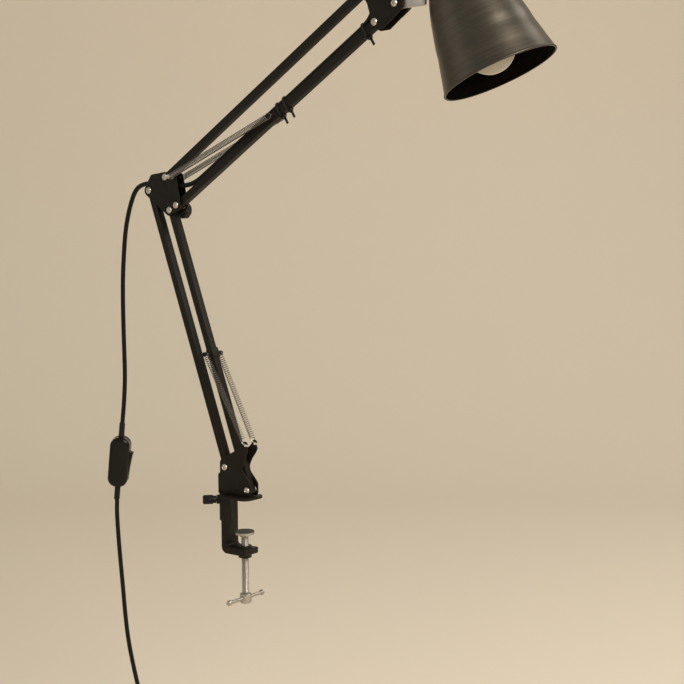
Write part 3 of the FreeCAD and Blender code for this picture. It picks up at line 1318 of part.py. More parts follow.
NODES = {
    "clamp_frame": clamp_frame,
    "post_bush": post_bush,
    "clamp_screw": clamp_screw,
    "tommy_bar": tommy_bar,
    "pressure_plate": pressure_plate,
    "pressure_pad": pad_face,
    "lock_screw": lock_screw,
    "base_yoke": base_yoke,
    "swivel_post": swivel_post,
    "base_bolts": base_bolts,
    "base_nuts": lambda: group([nut(p, PLATE_OUT) for p in (BASE_REAR, BASE_FRONT)]),
    "base_washers": lambda: group(washers(BASE_REAR) + washers(BASE_FRONT)),
    "lower_back_bar": lambda: bar(BASE_REAR, ARM_LEAN, ARM_LENGTH),
    "lower_back_plugs": lambda: bar_plugs(BASE_REAR, ARM_LEAN, ARM_LENGTH),
    "lower_front_bar": lambda: pin_hole(bar(BASE_FRONT, ARM_LEAN, ARM_LENGTH), LOWER_STUD),
    "lower_front_plugs": lambda: bar_plugs(BASE_FRONT, ARM_LEAN, ARM_LENGTH),
    "lower_saddle": lambda: saddle(BASE_FRONT, ARM_LEAN, LOWER_SPRING_AT, True),
    "lower_spring_near": lambda: lower_spring(-1),
    "lower_spring_far": lambda: lower_spring(1),
    "elbow_plate_near": lambda: elbow_plate(-1),
    "elbow_plate_far": lambda: elbow_plate(1),
    "elbow_studs": elbow_studs,
    "elbow_bolts": elbow_bolts,
    "elbow_nuts": lambda: group([nut(p, PLATE_OUT) for p in (ELBOW_TOP, ELBOW_REAR, ELBOW_LOW)]),
    "elbow_washers": lambda: group(washers(ELBOW_TOP) + washers(ELBOW_REAR) + washers(ELBOW_LOW) + washers(ELBOW_FRONT)),
    "elbow_knob": elbow_knob,
    "upper_top_bar": lambda: bar(ELBOW_TOP, FORE_RISE, FORE_LENGTH),
    "upper_top_plugs": lambda: bar_plugs(ELBOW_TOP, FORE_RISE, FORE_LENGTH),
    "upper_bottom_bar": lambda: pin_hole(bar(ELBOW_LOW, FORE_RISE, FORE_LENGTH), UPPER_STUD),
    "upper_bottom_plugs": lambda: bar_plugs(ELBOW_LOW, FORE_RISE, FORE_LENGTH),
    "upper_saddle": lambda: saddle(ELBOW_LOW, FORE_RISE, UPPER_SPRING_AT, True),
    "upper_spring_near": lambda: upper_spring(-1),
    "upper_spring_far": lambda: upper_spring(1),
    "cable_ties": cable_ties,
    "head_plate_near": lambda: head_plate(-1),
    "head_plate_far": lambda: head_plate(1),
    "head_bolts": head_bolts,
    "head_nuts": lambda: group([nut(p, PLATE_OUT) for p in (HEAD_LOW, HEAD_TOP)]),
    "head_washers": lambda: group(washers(HEAD_LOW) + washers(HEAD_TOP)),
    "head_knob": head_knob,
    "shade_bracket": shade_bracket,
    "swivel_bolt": swivel_bolt,
    "shade": shade_shell,
    "holder_cap": holder_cap,
    "lampholder": lampholder,
    "holder_contact": holder_contact,
    "shade_ring": shade_ring,
    "bulb_glass": bulb_glass,
    "bulb_cap": bulb_cap,
    "cord_gland": cord_gland,
    "cord_head": cord_head,
    "cord_on_arm": cord_on_arm,
    "cord_elbow": cord_elbow,
    "cord_hanging": cord_hanging,
    "switch_shells": lambda: group([switch_half(1), switch_half(-1)]),
    "switch_rocker": switch_rocker,
    "switch_reliefs": lambda: group([switch_relief(1), switch_relief(-1)]),
    "cord_falling": cord_falling,
    "cord_coil": cord_coil,
    "coil_tie_and_plug": lambda: group([coil_tie(), plug_body(), plug_pins()]),
}


def main():
    os.makedirs("parts", exist_ok=True)
    for name, make in NODES.items():
        shape = make()
        if not shape.isValid():
            print(name, "is not valid")
        shape.exportStep("parts/" + name + ".step")


main()
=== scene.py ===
import math

import bmesh
import bpy
from bpy.props import FloatProperty, FloatVectorProperty, IntProperty, PointerProperty
from mathutils import Matrix, Vector


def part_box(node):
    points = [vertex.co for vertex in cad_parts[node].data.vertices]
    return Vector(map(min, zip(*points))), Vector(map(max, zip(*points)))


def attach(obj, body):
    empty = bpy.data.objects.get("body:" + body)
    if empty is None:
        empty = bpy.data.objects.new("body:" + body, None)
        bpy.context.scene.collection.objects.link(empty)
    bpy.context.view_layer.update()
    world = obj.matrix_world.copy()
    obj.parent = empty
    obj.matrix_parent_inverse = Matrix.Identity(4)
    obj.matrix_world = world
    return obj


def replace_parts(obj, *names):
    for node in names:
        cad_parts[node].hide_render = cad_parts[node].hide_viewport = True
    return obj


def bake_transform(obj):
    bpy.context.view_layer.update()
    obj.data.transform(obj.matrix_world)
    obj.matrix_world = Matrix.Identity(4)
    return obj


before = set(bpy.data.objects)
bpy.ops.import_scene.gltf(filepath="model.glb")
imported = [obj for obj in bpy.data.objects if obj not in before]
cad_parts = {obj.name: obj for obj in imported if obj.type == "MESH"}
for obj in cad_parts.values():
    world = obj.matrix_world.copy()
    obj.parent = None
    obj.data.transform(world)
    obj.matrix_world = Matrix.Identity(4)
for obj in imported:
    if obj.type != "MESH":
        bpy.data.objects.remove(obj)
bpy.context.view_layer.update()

bl_info = {
    "name": "Balanced-arm desk lamp",
    "version": (1, 0, 0),
    "blender": (4, 5, 0),
    "location": "3D View > Sidebar > Lamp",
    "description": "Dresses a clamp-on balanced-arm desk lamp around its packed frame",
    "category": "Object",
}


# ---- Places on the lamp, in metres -------------------------------------------------------


def step(point, move):
    return (point[0] + move[0], point[1] + move[1])


def on_bar(pivot, angle, distance, lift=0.0):
    c, s = math.cos(math.radians(angle)), math.sin(math.radians(angle))
    return (pivot[0] + distance * c - lift * s, pivot[1] + distance * s + lift * c)


ARM_LEAN, FORE_RISE, ARM = 109.9, 32.1, 0.4
YOKE_REAR_PIVOT = (-0.0284, 0.0399)
YOKE_FRONT_PIVOT = step(YOKE_REAR_PIVOT, (0.0397, -0.0277))
ELBOW_REAR = on_bar(YOKE_REAR_PIVOT, ARM_LEAN, ARM)
ELBOW_TOP = step(ELBOW_REAR, (0.0320, 0.0176))
ELBOW_LOW = step(ELBOW_TOP, (0.0204, -0.0388))
LOWER_STUD = on_bar(YOKE_FRONT_PIVOT, ARM_LEAN, 0.192)
UPPER_STUD = on_bar(ELBOW_LOW, FORE_RISE, 0.208)
ELBOW_STUD = (-0.1170, 0.4335)
YOKE_HOOK = (0.0110, 0.0742)
STUD_Y, HOOK_Y = 0.0135, 0.0096
CORD_LIFT = 0.0084
HOOK_BEHIND = 0.0021  # from a stud to the end of the spring that hangs on it
EYE_BEFORE = 0.0017  # from a yoke hook to the end of its spring

LEAN = math.radians(-22.5)
ROLL = math.radians(7.3)
SWIVEL_LINE = Vector((math.cos(LEAN), 0, -math.sin(LEAN)))
SHADE_AXIS = (Vector((math.sin(LEAN), 0, math.cos(LEAN))) * math.cos(ROLL)
              - Vector((0, 1, 0)) * math.sin(ROLL))
SHADE_SIDE = SHADE_AXIS.cross(SWIVEL_LINE)
SHADE_MOUTH = Vector((0.3251, 0, 0.6818)) - SHADE_AXIS * 0.158


def at(point, y=0.0):
    return Vector((point[0], y, point[1]))


def arm_point(distance, lift=CORD_LIFT):
    return at(on_bar(ELBOW_LOW, FORE_RISE, distance, lift))


def shade_point(up):
    return SHADE_MOUTH + SHADE_AXIS * up


def vectors(points):
    return [Vector(p) for p in points]


def clamped(value):
    return min(1.0, max(0.0, value))


# ---- Settings ----------------------------------------------------------------------------


class LampSizes(bpy.types.PropertyGroup):
    """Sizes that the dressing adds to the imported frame"""

    cord: FloatProperty(
        name="Cord", description="Diameter of the mains cord", default=0.0065, unit="LENGTH")
    wire: FloatProperty(
        name="Spring wire", description="Diameter of the springs' wire", default=0.0011, unit="LENGTH")
    spring: FloatProperty(
        name="Spring", description="Radius of the springs to the middle of the wire",
        default=0.0034, unit="LENGTH")
    eye: FloatProperty(
        name="Spring eye", description="Diameter of the wire at the yoke's hooks",
        default=0.0017, unit="LENGTH")
    lower_turns: IntProperty(
        name="Lower turns", description="Turns in each spring of the lower arm", default=42)
    upper_turns: IntProperty(
        name="Upper turns", description="Turns in each spring of the upper arm", default=70)
    tube_corner: FloatProperty(
        name="Tube corner", description="Corner radius of the square tubes",
        default=0.0010, unit="LENGTH")
    plate_edge: FloatProperty(
        name="Plate edge", description="Rounding of the pressed plates' edges",
        default=0.00030, unit="LENGTH")
    thread: FloatProperty(
        name="Thread pitch", description="Pitch of the clamp screw's thread",
        default=0.0020, unit="LENGTH")


class LampColours(bpy.types.PropertyGroup):
    """Colours of the lamp's finishes"""

    paint: FloatVectorProperty(
        name="Paint", description="Powder coat of the arms",
        subtype="COLOR", default=(0.0072, 0.0053, 0.0034))
    shade: FloatVectorProperty(
        name="Shade", description="Paint of the shade", subtype="COLOR", default=(0.088, 0.078, 0.062))
    steel: FloatVectorProperty(
        name="Steel", description="Bare plated steel", subtype="COLOR", default=(0.66, 0.62, 0.56))
    plastic: FloatVectorProperty(
        name="Plastic", description="Moulded black plastic",
        subtype="COLOR", default=(0.0060, 0.0052, 0.0042))
    cord: FloatVectorProperty(
        name="Cord", description="Sheath of the cord",
        subtype="COLOR", default=(0.0062, 0.0052, 0.0042))
    bulb: FloatVectorProperty(
        name="Bulb", description="Frosted glass of the bulb",
        subtype="COLOR", default=(0.46, 0.42, 0.36))
    floor: FloatVectorProperty(
        name="Floor", description="Floor and backdrop", subtype="COLOR", default=(0.80, 0.72, 0.60))


# ---- Finishes ----------------------------------------------------------------------------


class Value:
    """A shader number that can be used in sums."""

    def __init__(self, finish, socket):
        self.finish, self.socket = finish, socket

    def sum(self, operation, first, second):
        return self.finish.number("ShaderNodeMath", {"operation": operation}, {0: first, 1: second})

    def __add__(self, other):
        return self.sum("ADD", self, other)

    def __radd__(self, other):
        return self.sum("ADD", other, self)

    def __sub__(self, other):
        return self.sum("SUBTRACT", self, other)

    def __rsub__(self, other):
        return self.sum("SUBTRACT", other, self)

    def __mul__(self, other):
        return self.sum("MULTIPLY", self, other)

    def __rmul__(self, other):
        return self.sum("MULTIPLY", other, self)

    def __truediv__(self, other):
        return self.sum("DIVIDE", self, other)

    def __pow__(self, other):
        return self.sum("POWER", self, other)


# A Mix node's colour sockets share their names with its other kinds, so they go by number.
COLOUR_A, COLOUR_B, COLOUR_OUT = 6, 7, 2


class Finish:
    """A material and the few calls that build its nodes."""

    made = {}

    def __init__(self, name, **plain):
        self.material = bpy.data.materials.new(name)
        self.material.use_nodes = True
        self.tree = self.material.node_tree
        self.shader = self.tree.nodes["Principled BSDF"]
        self.place = self.tree.nodes.new("ShaderNodeTexCoord")
        for socket, value in plain.items():
            self.shader.inputs[socket.replace("_", " ")].default_value = value
        Finish.made[name] = self.material

    def node(self, kind, settings=None, sockets=None):
        node = self.tree.nodes.new(kind)
        for key, value in (settings or {}).items():
            if key == "stops":
                for k, (position, colour) in enumerate(value):
                    while len(node.color_ramp.elements) <= k:
                        node.color_ramp.elements.new(position)
                    node.color_ramp.elements[k].position = position
                    node.color_ramp.elements[k].color = colour
            else:
                setattr(node, key, value)
        for key, value in (sockets or {}).items():
            self.feed(node.inputs[key], value)
        return node

    def feed(self, socket, value):
        if isinstance(value, Value):
            value = value.socket
        if isinstance(value, bpy.types.NodeSocket):
            self.tree.links.new(value, socket)
        elif socket.type == "RGBA" and len(value) == 3:
            socket.default_value = (*value, 1.0)
        else:
            socket.default_value = value

    def number(self, kind, settings=None, sockets=None, output=0):
        return Value(self, self.node(kind, settings, sockets).outputs[output])

    def spots(self, size, detail=2.0, stretch=None, source="Object", roughness=0.55):
        """Noise whose blotches are about size metres across, drawn out along stretch."""
        place = self.place.outputs[source]
        if stretch:
            place = self.node("ShaderNodeVectorMath", {"operation": "MULTIPLY"},
                              {0: place, 1: stretch}).outputs[0]
        return self.number("ShaderNodeTexNoise", None, {
            "Vector": place, "Scale": 1.0 / size, "Detail": detail, "Roughness": roughness})

    def above(self, value, low, high):
        """0 where value is under low, 1 where it is over high."""
        return self.number("ShaderNodeMapRange", {"interpolation_type": "SMOOTHSTEP"}, {
            "Value": value, "From Min": low, "From Max": high})

    def blend(self, share, first, second):
        node = self.node("ShaderNodeMix", {"data_type": "RGBA"}, {"Factor": share})
        self.feed(node.inputs[COLOUR_A], first)
        self.feed(node.inputs[COLOUR_B], second)
        return node.outputs[COLOUR_OUT]

    def raised(self, *heights):
        """Feeds the normal from (height, depth in metres) pairs."""
        normal = None
        for height, depth in heights:
            bump = self.node("ShaderNodeBump", None, {
                "Height": height, "Distance": depth, "Strength": 1.0})
            if normal:
                self.feed(bump.inputs["Normal"], normal)
            normal = bump.outputs[0]
        self.feed(self.shader.inputs["Normal"], normal)

    def set(self, **sockets):
        for key, value in sockets.items():
            self.feed(self.shader.inputs[key.replace("_", " ")], value)
        return self


def times(colour, factor):
    return tuple(min(1.0, c * factor) for c in colour)


def powder_coat(name, colour):
    f = Finish(name, Specular_IOR_Level=0.18)
    grain, broad, scuff = f.spots(0.0009), f.spots(0.03, 4.0), f.spots(0.004, 5.0, (1, 1, 0.25))
    rubbed = f.above(scuff, 0.62, 0.74)
    base = f.blend(broad, times(colour, 0.75), times(colour, 1.5))
    f.set(Base_Color=f.blend(rubbed * 0.30, base, times(colour, 4.0)),
          Roughness=0.40 + 0.16 * broad - 0.10 * rubbed, Metallic=0.0)
    f.raised((grain, 0.00007), (broad, 0.0002))


def plated_steel(name, colour, streak=(1, 1, 0.1)):
    f = Finish(name, Metallic=1.0)
    lines, broad, specks = f.spots(0.0006, 3.0, streak), f.spots(0.012, 3.0), f.spots(0.0015, 4.0)
    dull = f.above(specks, 0.60, 0.72)
    f.set(Base_Color=f.blend(broad * 0.6 + dull * 0.3, colour, times(colour, 0.55)),
          Roughness=0.24 + 0.20 * lines + 0.15 * dull)
    f.raised((lines, 0.00002), (specks, 0.00003))


def moulded(name, colour, roughness, grain=0.0005, depth=0.00003, shine=0.28):
    f = Finish(name, Specular_IOR_Level=shine)
    fine, broad, worn = f.spots(grain, 2.0), f.spots(0.018, 3.0), f.spots(0.003, 5.0)
    polished = f.above(worn, 0.60, 0.75)
    f.set(Base_Color=f.blend(broad, times(colour, 0.8), times(colour, 1.5)),
          Roughness=roughness + 0.14 * broad - 0.12 * polished)
    f.raised((fine, depth), (broad, 0.0001))


def spun_paint(name, colour, inside=False):
    """Paint over spun metal: rings run round the shade, along its UV map's first axis."""
    f = Finish(name, Specular_IOR_Level=0.06 if inside else 0.5)
    wide = f.spots(1.0, 3.0, (2.5, 60, 1), "UV")
    fine = f.spots(1.0, 4.0, (5.0, 420, 1), "UV", 0.7)
    dust = f.spots(0.02, 5.0)
    rings = 0.55 * fine + 0.45 * wide
    light = f.above(rings, 0.38, 0.66)
    if inside:
        f.set(Base_Color=f.blend(light, times(colour, 0.5), colour), Roughness=0.75 + 0.2 * dust)
    else:
        base = f.blend(light, times(colour, 0.85), times(colour, 1.12))
        f.set(Base_Color=f.blend(f.above(dust, 0.5, 0.8) * 0.2, base, times(colour, 1.8)),
              Roughness=0.35 + 0.05 * light, Metallic=0.9)
    f.raised((rings, 0.00004), (f.spots(0.0006), 0.00002))


def sheath(name, colour):
    """A cord's sheath: faint drawn lines along it, and a slight waviness."""
    f = Finish(name, Specular_IOR_Level=0.15)
    drawn = f.spots(1.0, 3.0, (24, 6, 1), "UV")
    wave, fine = f.spots(1.0, 2.0, (1.0, 30, 1), "UV"), f.spots(0.0007, 2.0)
    f.set(Base_Color=f.blend(drawn, times(colour, 0.8), times(colour, 1.6)),
          Roughness=0.34 + 0.16 * drawn + 0.06 * fine)
    f.raised((drawn, 0.00006), (wave, 0.0002), (fine, 0.00002))


def frosted(name, colour):
    """Frosted glass, with a painted highlight where it is seen edge on."""
    f = Finish(name, IOR=1.45, Coat_Weight=0.25)
    cloud, fine = f.spots(0.02, 3.0), f.spots(0.0008)
    # painted highlight: the base colour is doubled towards the rim, where the glass is seen edge on
    painted_rim_highlight = f.above(f.number("ShaderNodeLayerWeight", None, {"Blend": 0.5}, 1), 0.68, 0.92)
    body = f.blend(cloud, times(colour, 0.88), colour)
    f.set(Base_Color=f.blend(painted_rim_highlight, body, times(colour, 2.0)), Roughness=0.26 + 0.12 * cloud)
    f.raised((fine, 0.000015),)


RIB_WAVE = 3000.0  # radians for each metre across the pad's ribs


def ribbed_rubber(name, colour):
    f = Finish(name)
    place = f.node("ShaderNodeSeparateXYZ", None, {0: f.place.outputs["Object"]})
    wave = f.number("ShaderNodeMath", {"operation": "SINE"},
                    {0: Value(f, place.outputs[0]) * RIB_WAVE})
    fine, dust = f.spots(0.0006), f.spots(0.006, 4.0)
    f.set(Base_Color=f.blend(f.above(dust, 0.5, 0.7), colour, times(colour, 2.5)),
          Roughness=0.75 + 0.15 * fine)
    f.raised((f.above(wave, -0.2, 0.4), 0.0003), (fine, 0.00005))


def studio_floor(name, colour):
    f = Finish(name)
    f.set(Base_Color=f.blend(f.spots(0.4, 2.0), times(colour, 0.985), colour), Roughness=0.85)


def make_finishes(colours):
    powder_coat("black_powder_coat", colours.paint)
    powder_coat("clamp_powder_coat", times(colours.paint, 1.1))
    plated_steel("nickel_bolt", colours.steel)
    plated_steel("zinc_bracket", times(colours.steel, 0.95), (0.3, 1, 1))
    # painted shade: the springs' steel is a third as bright as the bolts' steel, standing in for the
    # dark surroundings the coils reflect
    plated_steel("spring_steel", times(colours.steel, 0.34), (1, 1, 1))
    plated_steel("thread_steel", times(colours.steel, 0.8))
    plated_steel("bulb_cap_metal", (0.76, 0.75, 0.73))
    plated_steel("brass_contact", (0.78, 0.60, 0.30))
    moulded("black_moulding", colours.plastic, 0.42)
    moulded("switch_gloss", times(colours.plastic, 0.5), 0.12, 0.0012, 0.000012, 0.24)
    moulded("tie_nylon", times(colours.plastic, 1.3), 0.36)
    moulded("washer_nylon", (0.62, 0.58, 0.50), 0.45, shine=0.5)
    spun_paint("shade_paint", colours.shade)
    spun_paint("shade_inside", (0.0050, 0.0036, 0.0026), True)
    sheath("cord_sheath", colours.cord)
    frosted("bulb_frost", colours.bulb)
    ribbed_rubber("pad_rubber", (0.03, 0.03, 0.03))
    studio_floor("studio_floor", colours.floor)


# ---- Mesh helpers ------------------------------------------------------------------------


def link(obj):
    bpy.context.scene.collection.objects.link(obj)
    return obj


def piece(name, mesh, finishes, smooth=35.0):
    """A mesh object at the origin with its finishes, smooth except over sharp edges."""
    obj = link(bpy.data.objects.new(name, mesh))
    if mesh.materials:
        mesh.materials.clear()
    for finish in [finishes] if isinstance(finishes, str) else finishes:
        obj.data.materials.append(Finish.made[finish])
    mesh.shade_smooth()
    mesh.set_sharp_from_angle(angle=math.radians(smooth))
    return obj


def mesh_from(bm, name):
    mesh = bpy.data.meshes.new(name)
    bm.to_mesh(mesh)
    bm.free()
    return mesh


def smooth_line(name, points, fineness=12):
    """The line of a smooth curve that has these points as its control points."""
    curve = bpy.data.curves.new(name + "_line", "CURVE")
    curve.dimensions = "3D"
    curve.resolution_u = fineness
    spline = curve.splines.new("NURBS")
    spline.points.add(len(points) - 1)
    for target, point in zip(spline.points, points):
        target.co = (*point, 1.0)
    spline.order_u = 3
    spline.use_endpoint_u = True
    obj = link(bpy.data.objects.new(name + "_line", curve))
    bpy.context.view_layer.update()
    mesh = bpy.data.meshes.new_from_object(obj)
    line = [v.co.copy() for v in mesh.vertices]
    bpy.data.objects.remove(obj)
    bpy.data.meshes.remove(mesh)
    return line


def frames_along(line):
    """A point, its heading and a side that doesn't twist, for each point of a line."""
    out, side = [], None
    for k, point in enumerate(line):
        heading = (line[min(k + 1, len(line) - 1)] - line[max(k - 1, 0)]).normalized()
        if side is None:
            side = heading.orthogonal().normalized()
        side = (side - heading * side.dot(heading)).normalized()
        out.append((point, heading, side))
    return out


def tube_mesh(name, line, radius, sides=20):
    """A round tube along a line, closed at both ends, with its UV map along and around."""
    bm = bmesh.new()
    uv = bm.loops.layers.uv.new("UVMap")
    rings, run, last = [], [], None
    for point, heading, side in frames_along(line):
        across = heading.cross(side)
        rings.append([bm.verts.new(point + (side * math.cos(t) + across * math.sin(t)) * radius)
                      for t in (2 * math.pi * k / sides for k in range(sides))])
        run.append(0.0 if last is None else run[-1] + (point - last).length)
        last = point
    for k in range(len(rings) - 1):
        for j in range(sides):
            n = (j + 1) % sides
            face = bm.faces.new((rings[k][j], rings[k][n], rings[k + 1][n], rings[k + 1][j]))
            around = (j / sides, (j + 1) / sides, (j + 1) / sides, j / sides)
            for loop, u, v in zip(face.loops, around, (run[k], run[k], run[k + 1], run[k + 1])):
                loop[uv].uv = (u, v * 10)
    bm.faces.new(list(reversed(rings[0])))
    bm.faces.new(rings[-1])
    return mesh_from(bm, name)


def lathe_mesh(name, profile, place, sides=128, closed=True):
    """(radius, height, finish) points turned about an axis, as a closed loop or an open line."""
    bm = bmesh.new()
    uv = bm.loops.layers.uv.new("UVMap")
    rings, run = [], [0.0]
    count = len(profile)
    for k, (r, h, _) in enumerate(profile):
        if r < 1e-7:
            rings.append([bm.verts.new(place @ Vector((0, 0, h)))])
        else:
            rings.append([bm.verts.new(place @ Vector((r * math.cos(t), r * math.sin(t), h)))
                          for t in (2 * math.pi * j / sides for j in range(sides))])
        if k:
            run.append(run[-1] + math.hypot(r - profile[k - 1][0], h - profile[k - 1][1]))
    for k in range(count if closed else count - 1):
        a, b = rings[k], rings[(k + 1) % count]
        v0, v1 = run[k], run[k + 1] if k + 1 < count else run[k] + 0.001
        for j in range(sides):
            n = (j + 1) % sides
            corners = [(a[j % len(a)], j, v0), (a[n % len(a)], j + 1, v0),
                       (b[n % len(b)], j + 1, v1), (b[j % len(b)], j, v1)]
            kept = [c for i, c in enumerate(corners) if c[0] not in [d[0] for d in corners[:i]]]
            if len(kept) < 3:
                continue
            face = bm.faces.new([c[0] for c in kept])
            face.material_index = profile[k][2]
            for loop, (_, u, v) in zip(face.loops, kept):
                loop[uv].uv = (u / sides, v)
    bmesh.ops.recalc_face_normals(bm, faces=bm.faces)
    return mesh_from(bm, name)


def skin_rings(bm, rings):
    """Faces from ring to ring of vertices, and one over each end."""
    for a, b in zip(rings, rings[1:]):
        for j in range(len(a)):
            n = (j + 1) % len(a)
            bm.faces.new((a[j], a[n], b[n], b[j]))
    bm.faces.new(list(reversed(rings[0])))
    bm.faces.new(rings[-1])


def softened(node, name, finish, edge, segments=2, sharper=45.0, smooth=32.0):
    """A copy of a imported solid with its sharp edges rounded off."""
    bm = bmesh.new()
    bm.from_mesh(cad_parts[node].data)
    bmesh.ops.remove_doubles(bm, verts=bm.verts, dist=2e-6)
    bmesh.ops.dissolve_limit(bm, angle_limit=math.radians(0.6), verts=bm.verts, edges=bm.edges)
    edges = [e for e in bm.edges
             if len(e.link_faces) == 2 and e.calc_face_angle() > math.radians(sharper)]
    if edge > 0:
        bmesh.ops.bevel(bm, geom=edges, offset=edge, segments=segments, profile=0.5,
                        affect="EDGES", clamp_overlap=True)
    bmesh.ops.triangulate(bm, faces=[f for f in bm.faces if len(f.verts) > 4])
    obj = piece(name, mesh_from(bm, name), finish, smooth)
    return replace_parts(obj, node)


def paint_nodes(finish, *nodes):
    """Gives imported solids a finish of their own."""
    for node in nodes:
        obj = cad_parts[node]
        obj.data.materials.clear()
        obj.data.materials.append(Finish.made[finish])


def shade_matrix():
    turn = Matrix((SWIVEL_LINE, SHADE_SIDE, SHADE_AXIS)).transposed().to_4x4()
    return Matrix.Translation(SHADE_MOUTH) @ turn


# ---- Repeats, made with Geometry Nodes ---------------------------------------------------


def repeat_tree(name, build, inputs):
    """A node tree with named inputs, whose parts are laid out by build and then made real."""
    tree = bpy.data.node_groups.new(name, "GeometryNodeTree")
    tree.interface.new_socket("Geometry", in_out="OUTPUT", socket_type="NodeSocketGeometry")
    for label, kind in inputs:
        tree.interface.new_socket(label, in_out="INPUT", socket_type=kind)
    source = tree.nodes.new("NodeGroupInput")
    drain = tree.nodes.new("NodeGroupOutput")

    def add(kind, settings=None, sockets=None):
        node = tree.nodes.new(kind)
        for key, value in (settings or {}).items():
            setattr(node, key, value)
        for key, value in (sockets or {}).items():
            if isinstance(value, bpy.types.NodeSocket):
                tree.links.new(value, node.inputs[key])
            else:
                node.inputs[key].default_value = value
        return node

    instances = build(add, source)
    real = add("GeometryNodeRealizeInstances", None, {0: instances})
    painted = add("GeometryNodeSetMaterial", None,
                  {0: real.outputs[0], "Material": source.outputs["Finish"]})
    tree.links.new(painted.outputs[0], drain.inputs[0])
    return tree


def ring_of(add, source):
    """Copies of a small object in a ring about its own +Z axis, each turned to face out."""
    points = add("GeometryNodeMeshLine", None,
                 {"Count": source.outputs["Count"], "Offset": (0, 0, 0)})
    index = add("GeometryNodeInputIndex")
    turn = add("ShaderNodeMath", {"operation": "DIVIDE"},
               {0: index.outputs[0], 1: source.outputs["Count"]})
    full = add("ShaderNodeMath", {"operation": "MULTIPLY"}, {0: turn.outputs[0], 1: 2 * math.pi})
    angles = add("ShaderNodeCombineXYZ", None, {"Z": full.outputs[0]})
    item = add("GeometryNodeObjectInfo", None, {"Object": source.outputs["Item"]})
    return add("GeometryNodeInstanceOnPoints", None, {
        "Points": points.outputs[0], "Instance": item.outputs["Geometry"],
        "Rotation": angles.outputs[0]}).outputs[0]


def row_of(add, source):
    """Copies of a small object in a straight row."""
    points = add("GeometryNodeMeshLine", None,
                 {"Count": source.outputs["Count"], "Offset": source.outputs["Step"]})
    item = add("GeometryNodeObjectInfo", None, {"Object": source.outputs["Item"]})
    return add("GeometryNodeInstanceOnPoints", None, {
        "Points": points.outputs[0], "Instance": item.outputs["Geometry"]}).outputs[0]


def repeated(name, item_mesh, finish, count, place, row_step=None):
    """A ring or row of one small mesh, made real and put in its place."""
    inputs = [("Count", "NodeSocketInt"), ("Item", "NodeSocketObject"), ("Finish", "NodeSocketMaterial")]
    if row_step:
        inputs.append(("Step", "NodeSocketVector"))
    tree = repeat_tree(name + "_repeat", row_of if row_step else ring_of, inputs)
    item = link(bpy.data.objects.new(name + "_item", item_mesh))
    holder = link(bpy.data.objects.new(name + "_holder", bpy.data.meshes.new(name + "_holder")))
    modifier = holder.modifiers.new("Repeat", "NODES")
    modifier.node_group = tree
    values = {"Count": count, "Item": item, "Finish": Finish.made[finish], "Step": row_step}
    for socket in tree.interface.items_tree:
        if socket.in_out == "INPUT":
            modifier[socket.identifier] = values[socket.name]
    bpy.context.view_layer.update()
    depsgraph = bpy.context.evaluated_depsgraph_get()
    mesh = bpy.data.meshes.new_from_object(holder.evaluated_get(depsgraph))
    bpy.data.objects.remove(holder)
    bpy.data.objects.remove(item)
    mesh.transform(place)
    return piece(name, mesh, finish)


def block_mesh(name, low, high, edge=0.0, segments=2):
    """A box between two corners with its edges rounded."""
    bm = bmesh.new()
    bmesh.ops.create_cube(bm, size=1.0)
    for v in bm.verts:
        v.co = Vector([l + (h - l) * (c + 0.5) for l, h, c in zip(low, high, v.co)])
    if edge:
        bmesh.ops.bevel(bm, geom=bm.edges[:], offset=edge, segments=segments, profile=0.5,
                        affect="EDGES")
    bmesh.ops.recalc_face_normals(bm, faces=bm.faces)
    return mesh_from(bm, name)


# ---- Springs -----------------------------------------------------------------------------


BEND_REACH = 1.25  # how far a bend keeps its first heading, as a share of its span


def hermite(p, tp, q, tq, count):
    """Points on a smooth bend from p, heading along tp, to q, heading along tq."""
    reach = (q - p).length * BEND_REACH
    out = []
    for k in range(1, count):
        t = k / count
        a, b = 2 * t ** 3 - 3 * t ** 2 + 1, t ** 3 - 2 * t ** 2 + t
        c, d = 3 * t ** 2 - 2 * t ** 3, t ** 3 - t ** 2
        out.append(p * a + tp * (b * reach) + q * c + tq * (d * reach))
    return out


HOOK_TURN, HOOK_STEPS = 215, 12  # degrees round the ring at each end, and its steps
COIL_STEPS, BEND_STEPS = 14, 6  # steps in a turn, and in the bend from coil to ring
NECK = 0.9  # from a ring's middle to the coil, as a share of the coil's radius


def spring_line(start, end, turns, start_side, end_side, sizes):
    """The middle of a coil's wire, with a hooked ring at each end."""
    big, small = sizes.spring, sizes.wire / 2
    axis = (end - start).normalized()
    n0 = (start_side - axis * start_side.dot(axis)).normalized()
    n1 = (end_side - axis * end_side.dot(axis)).normalized()
    b0 = axis.cross(n0)
    c0, c1 = start + axis * (big - small), end - axis * (big - small)
    first, last = c0 + axis * (big * NECK), c1 - axis * (big * NECK)
    phase = math.atan2(n1.dot(b0), n1.dot(n0)) + math.pi / 2
    total = 2 * math.pi * turns + phase - math.pi / 2
    rise = (last - first).length / total
    line = []
    for k in range(HOOK_STEPS + 1):
        t = math.radians(HOOK_TURN - HOOK_TURN * k / HOOK_STEPS)
        line.append(c0 + n0 * (big * math.cos(t)) - axis * (big * math.sin(t)))
    count = int(turns * COIL_STEPS)
    coil = []
    for k in range(count + 1):
        t = math.pi / 2 + (total - math.pi / 2) * k / count
        out = n0 * math.cos(t) + b0 * math.sin(t)
        coil.append(first + axis * (rise * (t - math.pi / 2)) + out * big)
    bend = hermite(line[-1], axis, coil[0], (coil[1] - coil[0]).normalized(), BEND_STEPS)
    line += bend + coil
    ring = []
    for k in range(HOOK_STEPS + 1):
        t = math.radians(HOOK_TURN * k / HOOK_STEPS)
        ring.append(c1 + n1 * (big * math.cos(t)) + axis * (big * math.sin(t)))
    bend = hermite(coil[-1], (coil[-1] - coil[-2]).normalized(), ring[0], axis, BEND_STEPS)
    return line + bend + ring


